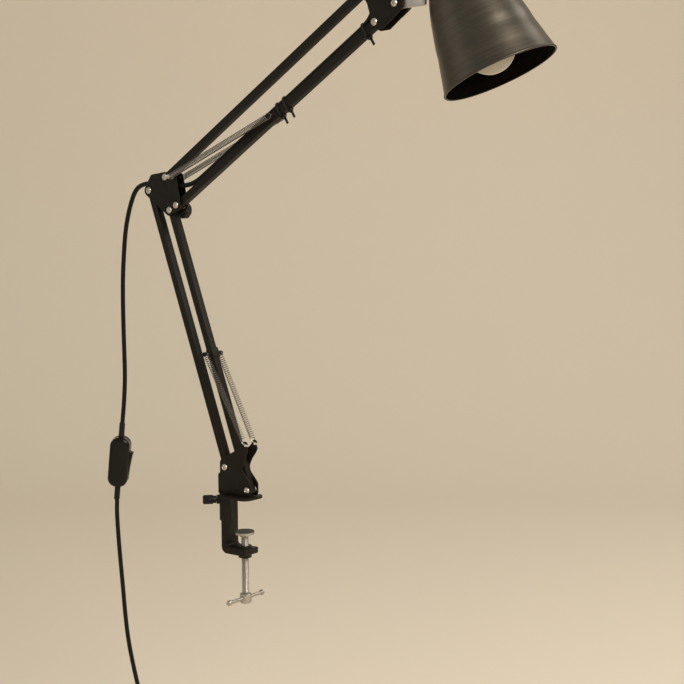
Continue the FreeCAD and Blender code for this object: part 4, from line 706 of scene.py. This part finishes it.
def hooked_on(stud, other, side):
    """The end of a spring that hangs on a stud and pulls towards another place."""
    pull = (at(other) - at(stud)).normalized()
    return at(stud, side * STUD_Y) - pull * HOOK_BEHIND


def square_to(start, end):
    run = end - start
    return Vector((run.z, 0, -run.x))


# ---- Operators ---------------------------------------------------------------------------


class LAMP_OT_finishes(bpy.types.Operator):
    """Make every finish of the lamp"""

    bl_idname = "lamp.finishes"
    bl_label = "Finishes"

    def execute(self, context):
        make_finishes(context.scene.lamp_colours)
        return {"FINISHED"}


LENS, SENSOR = 68.26, 36.0
CAMERA_AT = (1.1620, -1.2826, 0.3598)
CAMERA_RIGHT = Vector((0.79100, 0.61177, -0.00746))
CAMERA_UP = Vector((-0.04700, 0.07291, 0.99623))
FLOOR_Z, FLOOR_NEAR, FLOOR_HALF = -0.478, -7.0, 9.0
SWEEP_FROM, SWEEP_R, WALL_TOP = 2.2, 1.6, 7.0
AWAY, ACROSS = Vector((-0.612, 0.791, 0)), Vector((0.791, 0.612, 0))
LIGHTS = (  # name, place, target, size, watts, colour
    ("key", (2.7, -0.75, 1.9), (0.1, 0, 0.45), 1.7, 84, (1.0, 0.93, 0.82)),
    ("fill", (-1.9, -2.1, 1.0), (0.0, 0, 0.3), 2.0, 4, (1.0, 0.95, 0.88)),
    ("back", (1.9, 1.9, 2.2), (0.1, 0, 0.4), 1.6, 26, (1.0, 0.96, 0.90)),
)
SKY, SKY_STRENGTH = (1.0, 0.95, 0.86, 1.0), 0.45


class LAMP_OT_stage(bpy.types.Operator):
    """Set up the floor, the lights and the camera"""

    bl_idname = "lamp.stage"
    bl_label = "Stage"

    def execute(self, context):
        scene = context.scene
        camera = bpy.data.cameras.new("camera")
        camera.lens, camera.sensor_width = LENS, SENSOR
        camera.clip_start, camera.clip_end = 0.05, 50.0
        holder = link(bpy.data.objects.new("camera", camera))
        turn = Matrix((CAMERA_RIGHT, CAMERA_UP, CAMERA_RIGHT.cross(CAMERA_UP))).transposed()
        holder.matrix_world = Matrix.Translation(CAMERA_AT) @ turn.to_4x4()
        scene.camera = holder

        bm = bmesh.new()
        profile = [(FLOOR_NEAR, FLOOR_Z)] + [
            (SWEEP_FROM + SWEEP_R * math.sin(t), FLOOR_Z + SWEEP_R * (1 - math.cos(t)))
            for t in (math.pi / 2 * k / 16 for k in range(17))
        ] + [(SWEEP_FROM + SWEEP_R, WALL_TOP)]
        rows = [[bm.verts.new(AWAY * d + ACROSS * s + Vector((0, 0, z)))
                 for s in (-FLOOR_HALF, FLOOR_HALF)] for d, z in profile]
        for a, b in zip(rows, rows[1:]):
            bm.faces.new((a[0], a[1], b[1], b[0]))
        floor = piece("studio_sweep", mesh_from(bm, "studio_sweep"), "studio_floor", 80)

        for name, place, target, size, power, colour in LIGHTS:
            light = bpy.data.lights.new(name, "AREA")
            light.shape, light.size, light.energy, light.color = "DISK", size, power, colour
            lamp = link(bpy.data.objects.new(name, light))
            lamp.location = place
            lamp.rotation_mode = "QUATERNION"
            lamp.rotation_quaternion = (Vector(target) - Vector(place)).to_track_quat("-Z", "Y")

        world = bpy.data.worlds.new("studio")
        world.use_nodes = True
        world.node_tree.nodes["Background"].inputs[0].default_value = SKY
        world.node_tree.nodes["Background"].inputs[1].default_value = SKY_STRENGTH
        scene.world = world
        scene.view_settings.view_transform = "Standard"
        return {"FINISHED"}


# Distances up the lower tube from its elbow pivot: the cord lies on it from the first to the
# second, and bends away from it at the third, by the elbow, and at the fourth, by the head.
ON_ARM_FROM, ON_ARM_TO, LIFTS_AT, RISES_AT = 0.076, 0.370, 0.062, 0.393
HEAD_ROUTE = [
    (0.2210, 0.0, 0.6300), (0.2216, -0.001, 0.6620), (0.2225, -0.003, 0.7010),
    (0.2305, -0.005, 0.7360), (0.2640, -0.007, 0.7545),
]
ELBOW_ROUTE = [
    (-0.0780, 0.0, 0.4266), (-0.0920, 0.0, 0.4222), (-0.1070, 0.0, 0.4211), (-0.1260, 0.0, 0.4212),
    (-0.1430, 0.0, 0.4223), (-0.1570, 0.0, 0.4246), (-0.1680, 0.0, 0.4268),
]
LEAVES_ELBOW = Vector((-0.1795, 0.0, 0.4254))
HANG_ROUTE = [
    (-0.1910, 0.0, 0.4234), (-0.2030, 0.0015, 0.4135), (-0.2135, 0.0050, 0.4005),
    (-0.2260, 0.0105, 0.3840), (-0.2415, 0.0185, 0.3590), (-0.2560, 0.0280, 0.3260),
    (-0.2680, 0.0360, 0.2900), (-0.2756, 0.0420, 0.2460), (-0.2780, 0.0446, 0.1960),
    (-0.2774, 0.0450, 0.1440), (-0.2810, 0.0450, 0.1030),
]
SWITCH_TOP = Vector((-0.2886, 0.0450, 0.0510))
SWITCH_BOTTOM = Vector((-0.2990, 0.0450, -0.0250))
SWITCH_FACES = 37.7  # degrees from +X
FALL_ROUTE = [
    (-0.3010, 0.0450, -0.0920), (-0.2975, 0.0450, -0.1340), (-0.2930, 0.0452, -0.1780),
    (-0.2890, 0.0450, -0.2220), (-0.2830, 0.0448, -0.2630), (-0.2730, 0.0450, -0.3020),
]
COIL_IN, COIL_ENTRY = Vector((-0.2475, 0.0450, -0.3810)), math.radians(198.0)
COIL_HEADING = Vector((-math.sin(COIL_ENTRY), 0, math.cos(COIL_ENTRY)))
COIL_R, COIL_STEP, COIL_TURNS = 0.0435, 0.0073, 5.0
CORNER_CUT = 1.01  # makes up for the smooth line, which passes inside its points
SWITCH_DOWN = (SWITCH_BOTTOM - SWITCH_TOP).normalized()


def coil_points():
    """The coil's turns: in on one layer, over to the next, and out again."""
    centre = COIL_IN - Vector((math.cos(COIL_ENTRY), 0, math.sin(COIL_ENTRY))) * COIL_R
    points, count = [], int(COIL_TURNS * 16)
    for k in range(count + 1):
        turn = COIL_TURNS * k / count
        r = COIL_R - COIL_STEP * min(turn, COIL_TURNS - turn)
        climb = clamped((turn - COIL_TURNS / 2) / 0.5 + 0.5)
        layer = climb * climb * (3 - 2 * climb)
        t = COIL_ENTRY + 2 * math.pi * turn
        out = r * CORNER_CUT
        points.append(centre + Vector((out * math.cos(t), COIL_STEP * layer, out * math.sin(t))))
    return points, points[-1] + COIL_HEADING * 0.010


def length_of(line):
    return sum((b - a).length for a, b in zip(line, line[1:]))


class LAMP_OT_cords(bpy.types.Operator):
    """Lay the cord from the lampholder to its plug"""

    bl_idname = "lamp.cords"
    bl_label = "Cord"

    def lay(self, name, route, length, far_end, lay="hanging", with_pieces=(), nodes=()):
        line = smooth_line(name, route)
        obj = piece(name, tube_mesh(name, line, self.radius), "cord_sheath", 60)
        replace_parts(obj, *nodes)
        if length:
            length_of(line)
        return obj

    def execute(self, context):
        self.radius = context.scene.lamp_sizes.cord / 2
        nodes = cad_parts

        route = [arm_point(d) for d in (ON_ARM_FROM - 0.004, 0.160, 0.280, ON_ARM_TO + 0.004)]
        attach(self.lay("cord_along_arm", route, 0, "", nodes=["cord_on_arm"]), "upper_bottom")

        route = [arm_point(ON_ARM_FROM), arm_point(LIFTS_AT)] + vectors(ELBOW_ROUTE)
        route.append(LEAVES_ELBOW)
        obj = self.lay("cord_over_elbow", route, 1, "object", "loose", nodes=["cord_elbow"])
        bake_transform(obj)

        over, end = shade_point(0.223), shade_point(0.182)
        route = [arm_point(ON_ARM_TO), arm_point(RISES_AT)] + vectors(HEAD_ROUTE) + [over, end]
        whole = smooth_line("cord_over_head", route)
        parts = (
            ("cord_into_head", 0.0, 0.33, "upper_bottom", "head",
             arm_point(0.388), (0.2214, 0, 0.645)),
            ("cord_loop", 0.33, 0.72, "head", "bracket",
             (0.2216, 0, 0.662), (0.262, -0.007, 0.752)),
            ("cord_into_cap", 0.72, 1.0, "bracket", "shade",
             (0.270, -0.007, 0.752), (0.3065, -0.006, 0.727)),
        )
        total, run, marks = length_of(whole), 0.0, [0.0]
        for a, b in zip(whole, whole[1:]):
            run += (b - a).length
            marks.append(run / total)
        for name, low, high, first, second, start, finish in parts:
            line = [p for p, m in zip(whole, marks) if low - 1e-9 <= m <= high + 0.012]
            obj = piece(name, tube_mesh(name, line, self.radius), "cord_sheath", 60)
            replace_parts(obj, "cord_head")
            length_of(line)
            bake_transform(obj)

        lead = SWITCH_TOP - SWITCH_DOWN * 0.027
        inside = SWITCH_TOP + SWITCH_DOWN * 0.010
        route = [LEAVES_ELBOW] + vectors(HANG_ROUTE) + [lead, inside]
        obj = self.lay("cord_down_to_switch", route, 1, "fitting", nodes=["cord_hanging"],
                       with_pieces=[nodes["switch_shells"], nodes["switch_reliefs"]])
        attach(obj, "elbow")

        coil, tail = coil_points()
        tip = SWITCH_BOTTOM + SWITCH_DOWN * 0.028
        route = [SWITCH_BOTTOM - SWITCH_DOWN * 0.010, tip] + vectors(FALL_ROUTE)
        route += [COIL_IN - COIL_HEADING * 0.042, COIL_IN - COIL_HEADING * 0.012] + coil + [tail]
        obj = self.lay("cord_down_to_plug", route, 1, "plug", nodes=["cord_falling", "cord_coil"],
                       with_pieces=[nodes["coil_tie_and_plug"]])
        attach(obj, "elbow")
        paint_nodes("black_moulding", "coil_tie_and_plug", "cord_gland")
        return {"FINISHED"}


class LAMP_OT_springs(bpy.types.Operator):
    """Wind the four balancing springs"""

    bl_idname = "lamp.springs"
    bl_label = "Springs"

    def execute(self, context):
        sizes = context.scene.lamp_sizes
        across = Vector((0, 1, 0))
        for side, word in ((-1, "near"), (1, "far")):
            start = hooked_on(LOWER_STUD, YOKE_HOOK, side)
            pull = (at(LOWER_STUD) - at(YOKE_HOOK)).normalized() * EYE_BEFORE
            end = at(YOKE_HOOK, side * HOOK_Y) + pull
            flat = square_to(start, end)
            line = spring_line(start, end, sizes.lower_turns, flat, across * side, sizes)
            name = "lower_coil_" + word
            obj = piece(name, tube_mesh(name, line, sizes.wire / 2, 8), "spring_steel", 60)
            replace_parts(obj, "lower_spring_" + word)
            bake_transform(obj)
            # painted highlight: each eye on a yoke hook is drawn in the bolts' bright steel rather than
            # the darker spring steel, for the lit end turns
            name = "lower_eye_" + word
            ring = line[-HOOK_STEPS - 1:]
            obj = piece(name, tube_mesh(name, ring, sizes.eye / 2, 12), "nickel_bolt", 60)
            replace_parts(obj, "lower_spring_" + word)
            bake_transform(obj)
            start = hooked_on(ELBOW_STUD, UPPER_STUD, side)
            end = hooked_on(UPPER_STUD, ELBOW_STUD, side)
            flat = square_to(start, end)
            line = spring_line(start, end, sizes.upper_turns, flat, flat, sizes)
            name = "upper_coil_" + word
            obj = piece(name, tube_mesh(name, line, sizes.wire / 2, 8), "spring_steel", 60)
            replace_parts(obj, "upper_spring_" + word)
            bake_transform(obj)
        return {"FINISHED"}


class LAMP_OT_arms(bpy.types.Operator):
    """Round the tubes and plates of both arms and paint them"""

    bl_idname = "lamp.arms"
    bl_label = "Arms"

    def execute(self, context):
        sizes = context.scene.lamp_sizes
        for node, body in (("lower_back_bar", "lower_back"), ("lower_front_bar", "lower_front"),
                           ("upper_top_bar", "upper_top"), ("upper_bottom_bar", "upper_bottom")):
            obj = softened(node, node + "_tube", "black_powder_coat", sizes.tube_corner, 3)
            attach(obj, body)
        for node, body in (("elbow_plate_near", "elbow"), ("elbow_plate_far", "elbow"),
                           ("head_plate_near", "head"), ("head_plate_far", "head"),
                           ("base_yoke", "yoke")):
            obj = softened(node, node + "_pressing", "black_powder_coat", sizes.plate_edge, 2)
            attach(obj, body)
        for node, body in (("lower_saddle", "lower_front"), ("upper_saddle", "upper_bottom")):
            obj = softened(node, node + "_strap", "black_powder_coat", sizes.plate_edge, 2)
            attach(obj, body)
        paint_nodes("black_moulding", "lower_back_plugs", "lower_front_plugs",
                    "upper_top_plugs", "upper_bottom_plugs")
        return {"FINISHED"}


class LAMP_OT_fasteners(bpy.types.Operator):
    """Finish the bolts, nuts, studs and washers"""

    bl_idname = "lamp.fasteners"
    bl_label = "Fasteners"

    def execute(self, context):
        for node, body in (("base_bolts", "yoke"), ("elbow_bolts", "elbow"), ("head_bolts", "head"),
                           ("base_nuts", "yoke"), ("elbow_nuts", "elbow"), ("head_nuts", "head"),
                           ("elbow_studs", "elbow"), ("swivel_bolt", "bracket")):
            obj = softened(node, node + "_plated", "nickel_bolt", 0.00018, 1, 55.0)
            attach(obj, body)
        paint_nodes("washer_nylon", "base_washers", "elbow_washers", "head_washers")
        for node, body in (("elbow_knob", "elbow_knob"), ("head_knob", "head_knob"),
                           ("lock_screw", "lock_screw")):
            obj = softened(node, node + "_moulding", "black_moulding", 0.0004, 2, 50.0)
            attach(obj, body)
        return {"FINISHED"}


THREAD_R, THREAD_DEPTH = 0.00505, 0.00085
PLAIN_TOP, PLAIN_FOOT = 0.0050, 0.0145  # the screw's lengths above and below its thread


class LAMP_OT_clamp(bpy.types.Operator):
    """Finish the clamp, its post and its screw"""

    bl_idname = "lamp.clamp"
    bl_label = "Clamp"

    def execute(self, context):
        sizes = context.scene.lamp_sizes
        obj = softened("clamp_frame", "clamp_body", "clamp_powder_coat", 0.0006, 2, 50.0)
        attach(obj, "clamp")
        paint_nodes("black_moulding", "post_bush")
        paint_nodes("thread_steel", "swivel_post", "clamp_screw", "pressure_plate", "tommy_bar")
        paint_nodes("pad_rubber", "pressure_pad")

        low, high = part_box("clamp_screw")
        top, bottom = high.z - PLAIN_TOP, low.z + PLAIN_FOOT
        bm = bmesh.new()
        sides, rows = 32, int((top - bottom) / sizes.thread * 8)
        grid = []
        for k in range(rows + 1):
            z = bottom + (top - bottom) * k / rows
            ring = []
            for j in range(sides):
                wave = abs(((z / sizes.thread - j / sides) % 1.0) * 2 - 1)
                r = THREAD_R - THREAD_DEPTH * clamped(wave * 1.4 - 0.15)
                t = 2 * math.pi * j / sides
                ring.append(bm.verts.new((r * math.cos(t), r * math.sin(t), z)))
            grid.append(ring)
        skin_rings(bm, grid)
        thread = piece("clamp_screw_thread", mesh_from(bm, "clamp_screw_thread"), "thread_steel", 60)
        head = lathe_mesh("clamp_screw_head", [(r, low.z + h, 0) for r, h in (
            (0, 0), (0.0055, 0), (0.0068, 0.0004), (0.0080, 0.0018), (0.0080, 0.0122),
            (0.0068, 0.0136), (0.0055, 0.0140), (0.0046, 0.0146), (0, 0.0146))],
            Matrix.Identity(4), 48, False)
        head = piece("clamp_screw_boss", head, "thread_steel")
        neck = lathe_mesh("clamp_screw_neck", [(r, high.z - z, 0) for r, z in (
            (0, 0), (0.0028, 0), (0.0030, 0.0003), (0.0030, 0.0044), (0.0044, 0.0047),
            (0.0044, 0.0054), (0, 0.0054))], Matrix.Identity(4), 40, False)
        neck = piece("clamp_screw_tip", neck, "thread_steel")
        for obj in (thread, head, neck):
            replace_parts(obj, "clamp_screw")
            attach(obj, "clamp_screw")
        return {"FINISHED"}


def smooth_profile(points, count, finish):
    """Points on a smooth line through (radius, height) points, for a lathe."""
    out = []
    for k in range(len(points) - 1):
        p0, p1 = Vector(points[max(k - 1, 0)]), Vector(points[k])
        p2, p3 = Vector(points[k + 1]), Vector(points[min(k + 2, len(points) - 1)])
        for j in range(count):
            t = j / count
            q = 0.5 * (2 * p1 + (p2 - p0) * t + (2 * p0 - 5 * p1 + 4 * p2 - p3) * t * t
                       + (3 * p1 - p0 - 3 * p2 + p3) * t ** 3)
            out.append((q.x, q.y, finish))
    out.append((points[-1][0], points[-1][1], finish))
    return out


BULB_R, BULB_UP, BULB_FOOT = 0.030, 0.031, 0.0765
SCREW_FROM, SCREW_LENGTH, SCREW_PITCH = 0.0762, 0.0218, 0.00363
SCREW_R, SCREW_DEPTH = 0.0131, 0.0009
SCREW_IN, SCREW_OUT, SCREW_FADE = 0.0775, 0.0980, 0.0015  # where its thread comes and goes


class LAMP_OT_shade(bpy.types.Operator):
    """Spin the shade and seat the bulb in its holder"""

    bl_idname = "lamp.shade"
    bl_label = "Shade and bulb"

    def execute(self, context):
        place = shade_matrix()
        bell = [(0.0688, 0.0016), (0.0656, 0.0140), (0.0625, 0.0280), (0.0594, 0.0410), (0.0573, 0.0540),
                (0.0533, 0.0720), (0.0488, 0.0900), (0.0430, 0.1080), (0.0385, 0.1185), (0.0340, 0.1275),
                (0.0302, 0.1345), (0.0276, 0.1386)]
        outer = smooth_profile(bell, 6, 0)
        inner = [(r - 0.0010, h - 0.0004, 1) for r, h, _ in reversed(outer)]
        lip = [(0.0690 + 0.0013 * math.cos(t) - 0.0004, 0.0013 * math.sin(t), 0)
               for t in (math.radians(-150 + 25 * k) for k in range(10))]
        shoulder = [(0.0262, 0.1390, 0), (0.0196, 0.1390, 1), (0.0196, 0.1377, 1), (0.0255, 0.1377, 1)]
        profile = lip + outer + shoulder + inner
        bell_mesh = lathe_mesh("shade_bell", profile, place, 192)
        shade = piece("shade_bell", bell_mesh, ["shade_paint", "shade_inside"], 50)
        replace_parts(shade, "shade")
        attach(shade, "shade")

        cap = softened("holder_cap", "holder_cup", "shade_paint", 0.0003, 2, 50.0)
        layer = cap.data.uv_layers.new(name="UVMap") if not cap.data.uv_layers else cap.data.uv_layers[0]
        back = place.inverted()
        for loop in cap.data.loops:
            p = back @ cap.data.vertices[loop.vertex_index].co
            layer.data[loop.index].uv = (math.atan2(p.y, p.x) / (2 * math.pi), p.z)
        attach(cap, "shade")
        bracket = softened("shade_bracket", "shade_bracket_arm", "zinc_bracket", 0.0004, 2, 50.0)
        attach(bracket, "bracket")

        globe = [(BULB_R * math.cos(t), BULB_UP + BULB_R * math.sin(t), 0)
                 for t in (math.radians(-90 + 128 * k / 40) for k in range(41))]
        neck = smooth_profile([(globe[-1][0], globe[-1][1]), (0.0196, 0.0540), (0.0163, 0.0630),
                               (0.0139, 0.0710), (0.0129, BULB_FOOT)], 6, 0)
        outline = globe[:-1] + neck + [(0, BULB_FOOT, 0)]
        glass = piece("bulb_globe", lathe_mesh("bulb_globe", outline, place, 96, False), "bulb_frost")
        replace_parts(glass, "bulb_glass")
        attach(glass, "shade")

        bm = bmesh.new()
        sides, rows, grid = 64, 96, []
        angles = [2 * math.pi * j / sides for j in range(sides)]
        for k in range(rows + 1):
            h = SCREW_FROM + SCREW_LENGTH * k / rows
            keep = clamped((h - SCREW_IN) / SCREW_FADE) * clamped((SCREW_OUT - h) / SCREW_FADE)
            ring = []
            for j, t in enumerate(angles):
                wave = 0.5 + 0.5 * math.cos(2 * math.pi * (h / SCREW_PITCH - j / sides))
                r = SCREW_R - SCREW_DEPTH * (1 - wave) * keep
                ring.append(bm.verts.new(place @ Vector((r * math.cos(t), r * math.sin(t), h))))
            grid.append(ring)
        for h, r in ((0.0995, 0.0112), (0.1012, 0.0062), (0.1030, 0.0042)):
            grid.append([bm.verts.new(place @ Vector((r * math.cos(t), r * math.sin(t), h)))
                         for t in angles])
        skin_rings(bm, grid)
        screw = piece("bulb_screw_cap", mesh_from(bm, "bulb_screw_cap"), "bulb_cap_metal")
        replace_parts(screw, "bulb_cap")
        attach(screw, "shade")

        holder = softened("lampholder", "lampholder_skirt", "black_moulding", 0.0004, 2, 50.0)
        ring = softened("shade_ring", "shade_ring_nut", "black_moulding", 0.0003, 2, 50.0)
        for obj in (holder, ring):
            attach(obj, "shade")
        grip = block_mesh("ring_grip", (0.0226, -0.0010, 0.1296), (0.0241, 0.0010, 0.1344), 0.0004)
        grips = repeated("shade_ring_grips", grip, "black_moulding", 24, place)
        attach(grips, "shade")
        paint_nodes("brass_contact", "holder_contact")
        return {"FINISHED"}


def switch_matrix():
    middle = (SWITCH_TOP + SWITCH_BOTTOM) / 2
    heading = math.radians(SWITCH_FACES)
    face = Vector((math.cos(heading), math.sin(heading), 0))
    face = (face - SWITCH_DOWN * face.dot(SWITCH_DOWN)).normalized()
    across = SWITCH_DOWN.cross(face)
    turn = Matrix((face, -across, -SWITCH_DOWN)).transposed().to_4x4()
    return Matrix.Translation(middle) @ turn


class LAMP_OT_switch(bpy.types.Operator):
    """Shape the in-line switch and its rocker"""

    bl_idname = "lamp.switch"
    bl_label = "Switch"

    def execute(self, context):
        shells = softened("switch_shells", "switch_housing", "switch_gloss", 0.0004, 2, 50.0)
        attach(shells, "elbow")
        rocker = softened("switch_rocker", "switch_rocker_key", "switch_gloss", 0.0005, 3, 40.0)
        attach(rocker, "switch_rocker")
        for word, turned in (("upper", 0.0), ("lower", math.pi)):
            place = switch_matrix() @ Matrix.Rotation(turned, 4, "X")
            name = word + "_relief"
            sleeve = lathe_mesh(name, [(r, z, 0) for r, z in (
                (0, 0.0380), (0.0044, 0.0380), (0.0044, 0.0392), (0.0041, 0.0400), (0.0037, 0.0598),
                (0.0034, 0.0604), (0, 0.0604))], place, 40, False)
            rib = lathe_mesh("rib", [(0.0030, 0.0404, 0), (0.0045, 0.0406, 0), (0.0045, 0.0424, 0),
                                     (0.0030, 0.0428, 0)], Matrix.Identity(4), 40)
            for obj in (piece(name, sleeve, "black_moulding"),
                        repeated(name + "_ribs", rib, "black_moulding", 5, place, (0, 0, 0.0040))):
                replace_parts(obj, "switch_reliefs")
                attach(obj, "elbow")
        return {"FINISHED"}


class LAMP_OT_ties(bpy.types.Operator):
    """Finish the cable ties round the bar and the cord"""

    bl_idname = "lamp.ties"
    bl_label = "Cable ties"

    def execute(self, context):
        paint_nodes("tie_nylon", "cable_ties")
        return {"FINISHED"}


class LAMP_PT_panel(bpy.types.Panel):
    """Lists the lamp's sizes, colours and pieces"""

    bl_idname = "LAMP_PT_panel"
    bl_label = "Lamp"
    bl_space_type = "VIEW_3D"
    bl_region_type = "UI"
    bl_category = "Lamp"

    def draw(self, context):
        column = self.layout.column()
        for group in (context.scene.lamp_sizes, context.scene.lamp_colours):
            for name in group.bl_rna.properties.keys():
                if name not in ("rna_type", "name"):
                    column.prop(group, name)
        for operator in OPERATORS:
            column.operator(operator.bl_idname)


OPERATORS = (
    LAMP_OT_finishes, LAMP_OT_stage, LAMP_OT_cords, LAMP_OT_springs, LAMP_OT_arms,
    LAMP_OT_fasteners, LAMP_OT_clamp, LAMP_OT_shade, LAMP_OT_switch, LAMP_OT_ties,
)
CLASSES = (LampSizes, LampColours) + OPERATORS + (LAMP_PT_panel,)


def register():
    for cls in CLASSES:
        bpy.utils.register_class(cls)
    bpy.types.Scene.lamp_sizes = PointerProperty(type=LampSizes)
    bpy.types.Scene.lamp_colours = PointerProperty(type=LampColours)


def unregister():
    del bpy.types.Scene.lamp_sizes
    del bpy.types.Scene.lamp_colours
    for cls in reversed(CLASSES):
        bpy.utils.unregister_class(cls)


def main():
    register()
    for operator in OPERATORS:
        group, name = operator.bl_idname.split(".")
        getattr(getattr(bpy.ops, group), name)()


if __name__ == "__main__":
    main()
